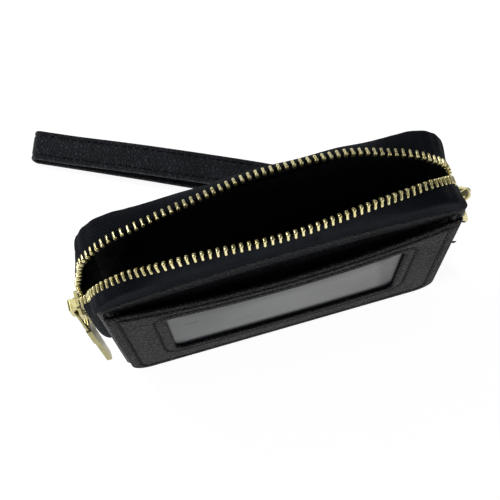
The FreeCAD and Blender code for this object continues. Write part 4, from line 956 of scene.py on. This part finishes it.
places, laterals = (np.array(part) for part in zip(*strap_course()))
alongs = unit(np.gradient(places, axis=0))
outs = unit(np.cross(alongs, laterals))
profile = np.array(strap_profile())
loops = places[:, None] + laterals[:, None] * profile[None, :, :1] + outs[:, None] * profile[None, :, 1:]
loops = loops + fold_skew(places[:, None], profile[None, :, 0])
loft_piece("strap_leather", loops, "strap", LEATHER_STRAP_LIT, ["strap_loop"],
           grid_uv(distances(places), profile[:, 0]))

seam_lift, seam_off = STRAP_THICK / 2 - 0.38, STRAP_WIDTH / 2 - STITCH_IN
seams = []
for off_middle in (-seam_off, seam_off):
    for side in (1, -1):
        line, normals = [], []
        for at in np.linspace(KEEPER_AT + KEEPER_LENGTH / 2 + 1.0, SPINE_LENGTH - 1.0, 200):
            middle, lateral = layer_point(at, side)
            normals.append(side * strap_frame(at)[3])
            line.append(middle + lateral * off_middle + normals[-1] * seam_lift
                        + fold_skew(middle, off_middle))
        seams += seam_places(np.array(line), np.array(normals), skew=0.04)
stitch_piece("strap_stitches", "strap", seams, ["strap_stitching"])


def rounded_box_loop(half_x, half_y, radius, turns=6):
    points = []
    for k, (sx, sy) in enumerate(((1, 1), (-1, 1), (-1, -1), (1, -1))):
        for j in range(turns + 1):
            turn = pi / 2 * (k + j / turns)
            points.append((sx * (half_x - radius) + radius * cos(turn),
                           sy * (half_y - radius) + radius * sin(turn)))
    return np.array(points)


# Along the keeper's half, and how much its outline grows there: a rounded rim and a pressed line.
KEEPER_RIM = ((4.0, -0.45), (3.85, -0.12), (3.4, 0.0), (2.9, 0.0), (2.6, -0.14), (2.3, 0.0), (1.0, 0.04))
place, along, lateral, up = strap_frame(KEEPER_AT)
in_x, in_y = STRAP_WIDTH / 2 + 0.25, hermite(STRAP_GAPS, KEEPER_AT, 1) + STRAP_THICK / 2 + 0.6
section = [(at, rounded_box_loop(in_x + 1.0 + grow, in_y + 1.0 + grow, 1.1)) for at, grow in
           [(-at, grow) for at, grow in KEEPER_RIM] + [(0.0, 0.06)] + [*reversed(KEEPER_RIM)]]
section += [(at, rounded_box_loop(in_x, in_y, 0.3)) for at in (4.0, 2.0, 0.0, -2.0, -4.0)]
loops = np.array([[place + lateral * x + up * y + along * at for x, y in loop] for at, loop in section])
loft_piece("strap_keeper_leather", loops, "strap", LEATHER_STRAP_LIT, ["strap_keeper"], hollow=True)

# ---- ring tab ----
RING_X, RING_Z, TAB_HALF, WRAP_RADIUS = 66.3, 56.0, 4.6, 2.3
foot = LENGTH / 2 - GUSSET_IN + PLY_GAP


def tab_loop(y, grow):
    """The tab's outline seen from the side, wrapped round the ring's bar, at one place across."""
    points = [(foot, RING_Z - 9.0 - grow), (foot, RING_Z + 4.5 + grow)]
    points += [(foot + 0.8, RING_Z + 4.3 + grow), (foot + 1.9, RING_Z + 3.5 + grow)]
    for a in np.linspace(100, -80, 14):
        t = radians(a)
        points.append((RING_X + (WRAP_RADIUS + grow) * cos(t), RING_Z + (WRAP_RADIUS + grow) * sin(t)))
    points += [(RING_X - 1.6, RING_Z - 3.0 - grow), (foot + 1.55 + grow, RING_Z - 4.4),
               (foot + 1.4 + grow, RING_Z - 6.0), (foot + 1.4 + grow, RING_Z - 8.4)]
    return [(x, y, z) for x, z in points]


TAB_ENDS = ((0.0, -0.35), (0.12, -0.1), (0.4, 0.0))
tab_rows = ([tab_loop(y - TAB_HALF, grow) for y, grow in TAB_ENDS]
            + [tab_loop(y, 0.0) for y in np.linspace(-TAB_HALF + 0.8, TAB_HALF - 0.8, 12)]
            + [tab_loop(TAB_HALF - y, grow) for y, grow in reversed(TAB_ENDS)])
loft_piece("ring_tab_leather", tab_rows, "wallet", LEATHER_STRAP_LIT, ["ring_tab"])
line = np.array([(foot + 1.42, y, RING_Z - 7.6) for y in np.linspace(-TAB_HALF + 0.6, TAB_HALF - 0.6, 30)])
tab_seam = seam_places(line, np.repeat(vec(1, 0, 0)[None], 30, 0), pitch=2.7)
stitch_piece("ring_tab_stitches", "wallet", tab_seam, ["ring_tab_stitching"])

# ---- clasp ----
CLASP_ORIGIN = vec(70.0931, 5.0007, 46.1129)
CLASP_X, CLASP_Z = vec(0.94003, 0.32275, -0.11035), vec(-0.27126, 0.51125, -0.8155)
CLASP_Y = np.cross(CLASP_Z, CLASP_X)
HOOK_RADIUS, HOOK_HALF, CLASP_HALF, CLASP_ROUND = 4.15, 1.25, 1.9, 24


def clasp_point(x, z, y=0.0):
    return CLASP_ORIGIN + CLASP_X * x + CLASP_Z * z + CLASP_Y * y


def oval(centre, first, second, half_first, half_second, power):
    """A loop of points that goes from an ellipse to a rounded box as the power grows from 2."""
    turns = tau * np.arange(CLASP_ROUND) / CLASP_ROUND
    c, s = np.cos(turns), np.sin(turns)
    reach = (abs(c) ** power + abs(s) ** power) ** (-1 / power)
    return centre + np.outer(half_first * c * reach, first) + np.outer(half_second * s * reach, second)


def clasp_lofts():
    """The hook, the body with its neck and barrel, and the two cheeks beside the gate."""
    hook = []
    for k in range(29):
        t = k / 28
        turn = radians(-36 - 208 * t)
        radial = CLASP_X * cos(turn) + CLASP_Z * sin(turn)
        tip = 0.55 + 0.45 * smooth(t, 0.0, 0.12)
        hook.append(oval(CLASP_ORIGIN + radial * HOOK_RADIUS, radial, CLASP_Y,
                         HOOK_HALF * tip, CLASP_HALF * tip, 2.4))
    # height, left, right, half through, power of the section
    levels = [(3.1, -4.3, -2.4, 1.2, 2.5), (3.6, -4.5, 0.2, 1.7, 2.6), (4.4, -4.4, 1.4, 1.9, 3),
              (7, -4.0, 1.5, 1.95, 3), (12.3, -3.8, 1.5, 1.95, 3), (12.7, -3.8, 5.0, 1.95, 3),
              (13.5, -3.6, 4.9, 1.95, 3),
              (14.3, -3.2, 3.4, 1.9, 2.8), (15.5, -2.7, 2.7, 1.9, 2.4), (17.7, -2.5, 2.5, 2.3, 2),
              (18.1, -2.7, 2.7, 2.7, 2), (21.9, -2.7, 2.7, 2.7, 2), (22.4, -2.3, 2.3, 2.3, 2)]
    body = [oval(clasp_point((left + right) / 2, level), CLASP_X, CLASP_Y, (right - left) / 2, through, power)
            for level, left, right, through, power in levels]
    rims = ((1.22, 0.2), (1.3, 0.05), (1.5, 0.0), (1.75, 0.08), (1.95, 0.4))
    cheeks = [[oval(clasp_point(3.3, 10.3, sign * through), CLASP_X, CLASP_Z, 2.2 - shrink, 2.9 - shrink, 3)
               for through, shrink in rims] for sign in (-1, 1)]
    return [hook, body] + cheeks


def gate_lofts():
    """The gate's bar with a low thumb rise, and its rolled end round the pin."""
    # height, middle, half width, half through
    levels = [(-2.2, 4.3, 0.35, 0.6), (-1.9, 4.35, 0.6, 0.9), (0, 4.5, 0.7, 1.0), (2.5, 4.75, 0.8, 1.0),
              (4.2, 5.1, 1.0, 1.0), (5.2, 5.1, 1.0, 1.0), (6.6, 4.7, 0.85, 1.0), (9, 4.3, 0.9, 1.0),
              (10.6, 4.1, 1.0, 1.0)]
    bar = [oval(clasp_point(middle, level), CLASP_X, CLASP_Y, half, through, 2.6)
           for level, middle, half, through in levels]
    roll = [oval(clasp_point(4.0, 10.5, through), CLASP_X, CLASP_Z, radius, radius, 2)
            for through, radius in ((-1.04, 1.3), (-0.9, 1.5), (0.9, 1.5), (1.04, 1.3))]
    return [bar, roll]


for name, body, lofts in (("clasp_body", "clasp", clasp_lofts()), ("clasp_gate", "clasp_gate", gate_lofts())):
    points, faces = joined((np.concatenate(loft), loft_faces(len(loft), CLASP_ROUND)) for loft in lofts)
    piece(name + "_metal", points, faces, body, GOLD, [name])

# ---- metal and board nodes keep their shape: softened edges and their own finish ----
# node: bevel in mm, finish
NODE_LOOKS = {"slider_body": (0.28, GOLD_SLIDER_SHADED), "slider_bridge": (0.22, GOLD_SLIDER_SHADED),
              "pull_link": (0.05, GOLD_PULL_SHADED), "pull_tab": (0.34, GOLD_PULL_SHADED),
              "d_ring": (0.05, GOLD), "swivel_eye": (0.08, GOLD),
              "zip_bottom_stop": (0.25, GOLD), "zip_top_stops": (0.25, GOLD), "gate_pin": (0.08, STEEL),
              "gate_spring": (0.05, STEEL), "front_stiffener": (0.1, FIBRE), "back_stiffener": (0.1, FIBRE)}
for name, (width, (slot_name, material)) in NODE_LOOKS.items():
    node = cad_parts[name]
    node.data.materials.clear()
    node.data.materials.append(material)
    soften = node.modifiers.new("soften", "BEVEL")
    soften.width, soften.segments, soften.limit_method = width * MM, 3, "ANGLE"
    soften.angle_limit = radians(32)
    node.data.polygons.foreach_set("use_smooth", [True] * len(node.data.polygons))

# ---- floor, light and camera ----
bpy.ops.mesh.primitive_plane_add(size=6.0, location=(0, 0, 0))
floor = bpy.context.object
floor.name = "floor"
floor.data.materials.append(floor_paint("floor_paint"))

world = bpy.data.worlds.new("studio")
bpy.context.scene.world = world
world.use_nodes = True
world.node_tree.nodes["Background"].inputs["Color"].default_value = (0.95, 0.97, 1.0, 1)
world.node_tree.nodes["Background"].inputs["Strength"].default_value = 0.10

AIM = Vector((0, 0, 0.05))


def soft_light(name, place, size, power):
    light = bpy.data.lights.new(name, "AREA")
    light.shape, light.size, light.size_y, light.energy = "RECTANGLE", size[0], size[1], power
    lamp = bpy.data.objects.new(name, light)
    lamp.location = place
    lamp.rotation_euler = (AIM - Vector(place)).to_track_quat("-Z", "Y").to_euler()
    bpy.context.scene.collection.objects.link(lamp)


soft_light("key", (-0.35, 0.50, 0.75), (0.22, 0.22), 3.4)
soft_light("left", (-0.75, -0.20, 0.50), (0.25, 0.25), 1.2)
soft_light("front", (0.45, -0.65, 0.55), (0.30, 0.20), 1.0)

CAMERA_PLACE = vec(-0.031290, -0.131432, 0.373146)
YAW, PITCH, ROLL = -0.173201, 1.166208, 0.114204
back = vec(sin(YAW) * cos(PITCH), -cos(YAW) * cos(PITCH), sin(PITCH))
right = unit(np.cross(-back, vec(0, 0, 1)))
down = -np.cross(right, -back)
c, s = cos(ROLL), sin(ROLL)
right, down = c * right + s * down, -s * right + c * down
camera = bpy.data.objects.new("camera", bpy.data.cameras.new("camera"))
camera.data.lens, camera.data.sensor_width = 72.0, 36.0
camera.data.clip_start = 0.01
camera.matrix_world = Matrix([*np.stack([right, -down, back, CAMERA_PLACE], axis=1).tolist(), (0, 0, 0, 1)])
bpy.context.scene.collection.objects.link(camera)
bpy.context.scene.camera = camera
bpy.context.scene.view_settings.view_transform = "Standard"
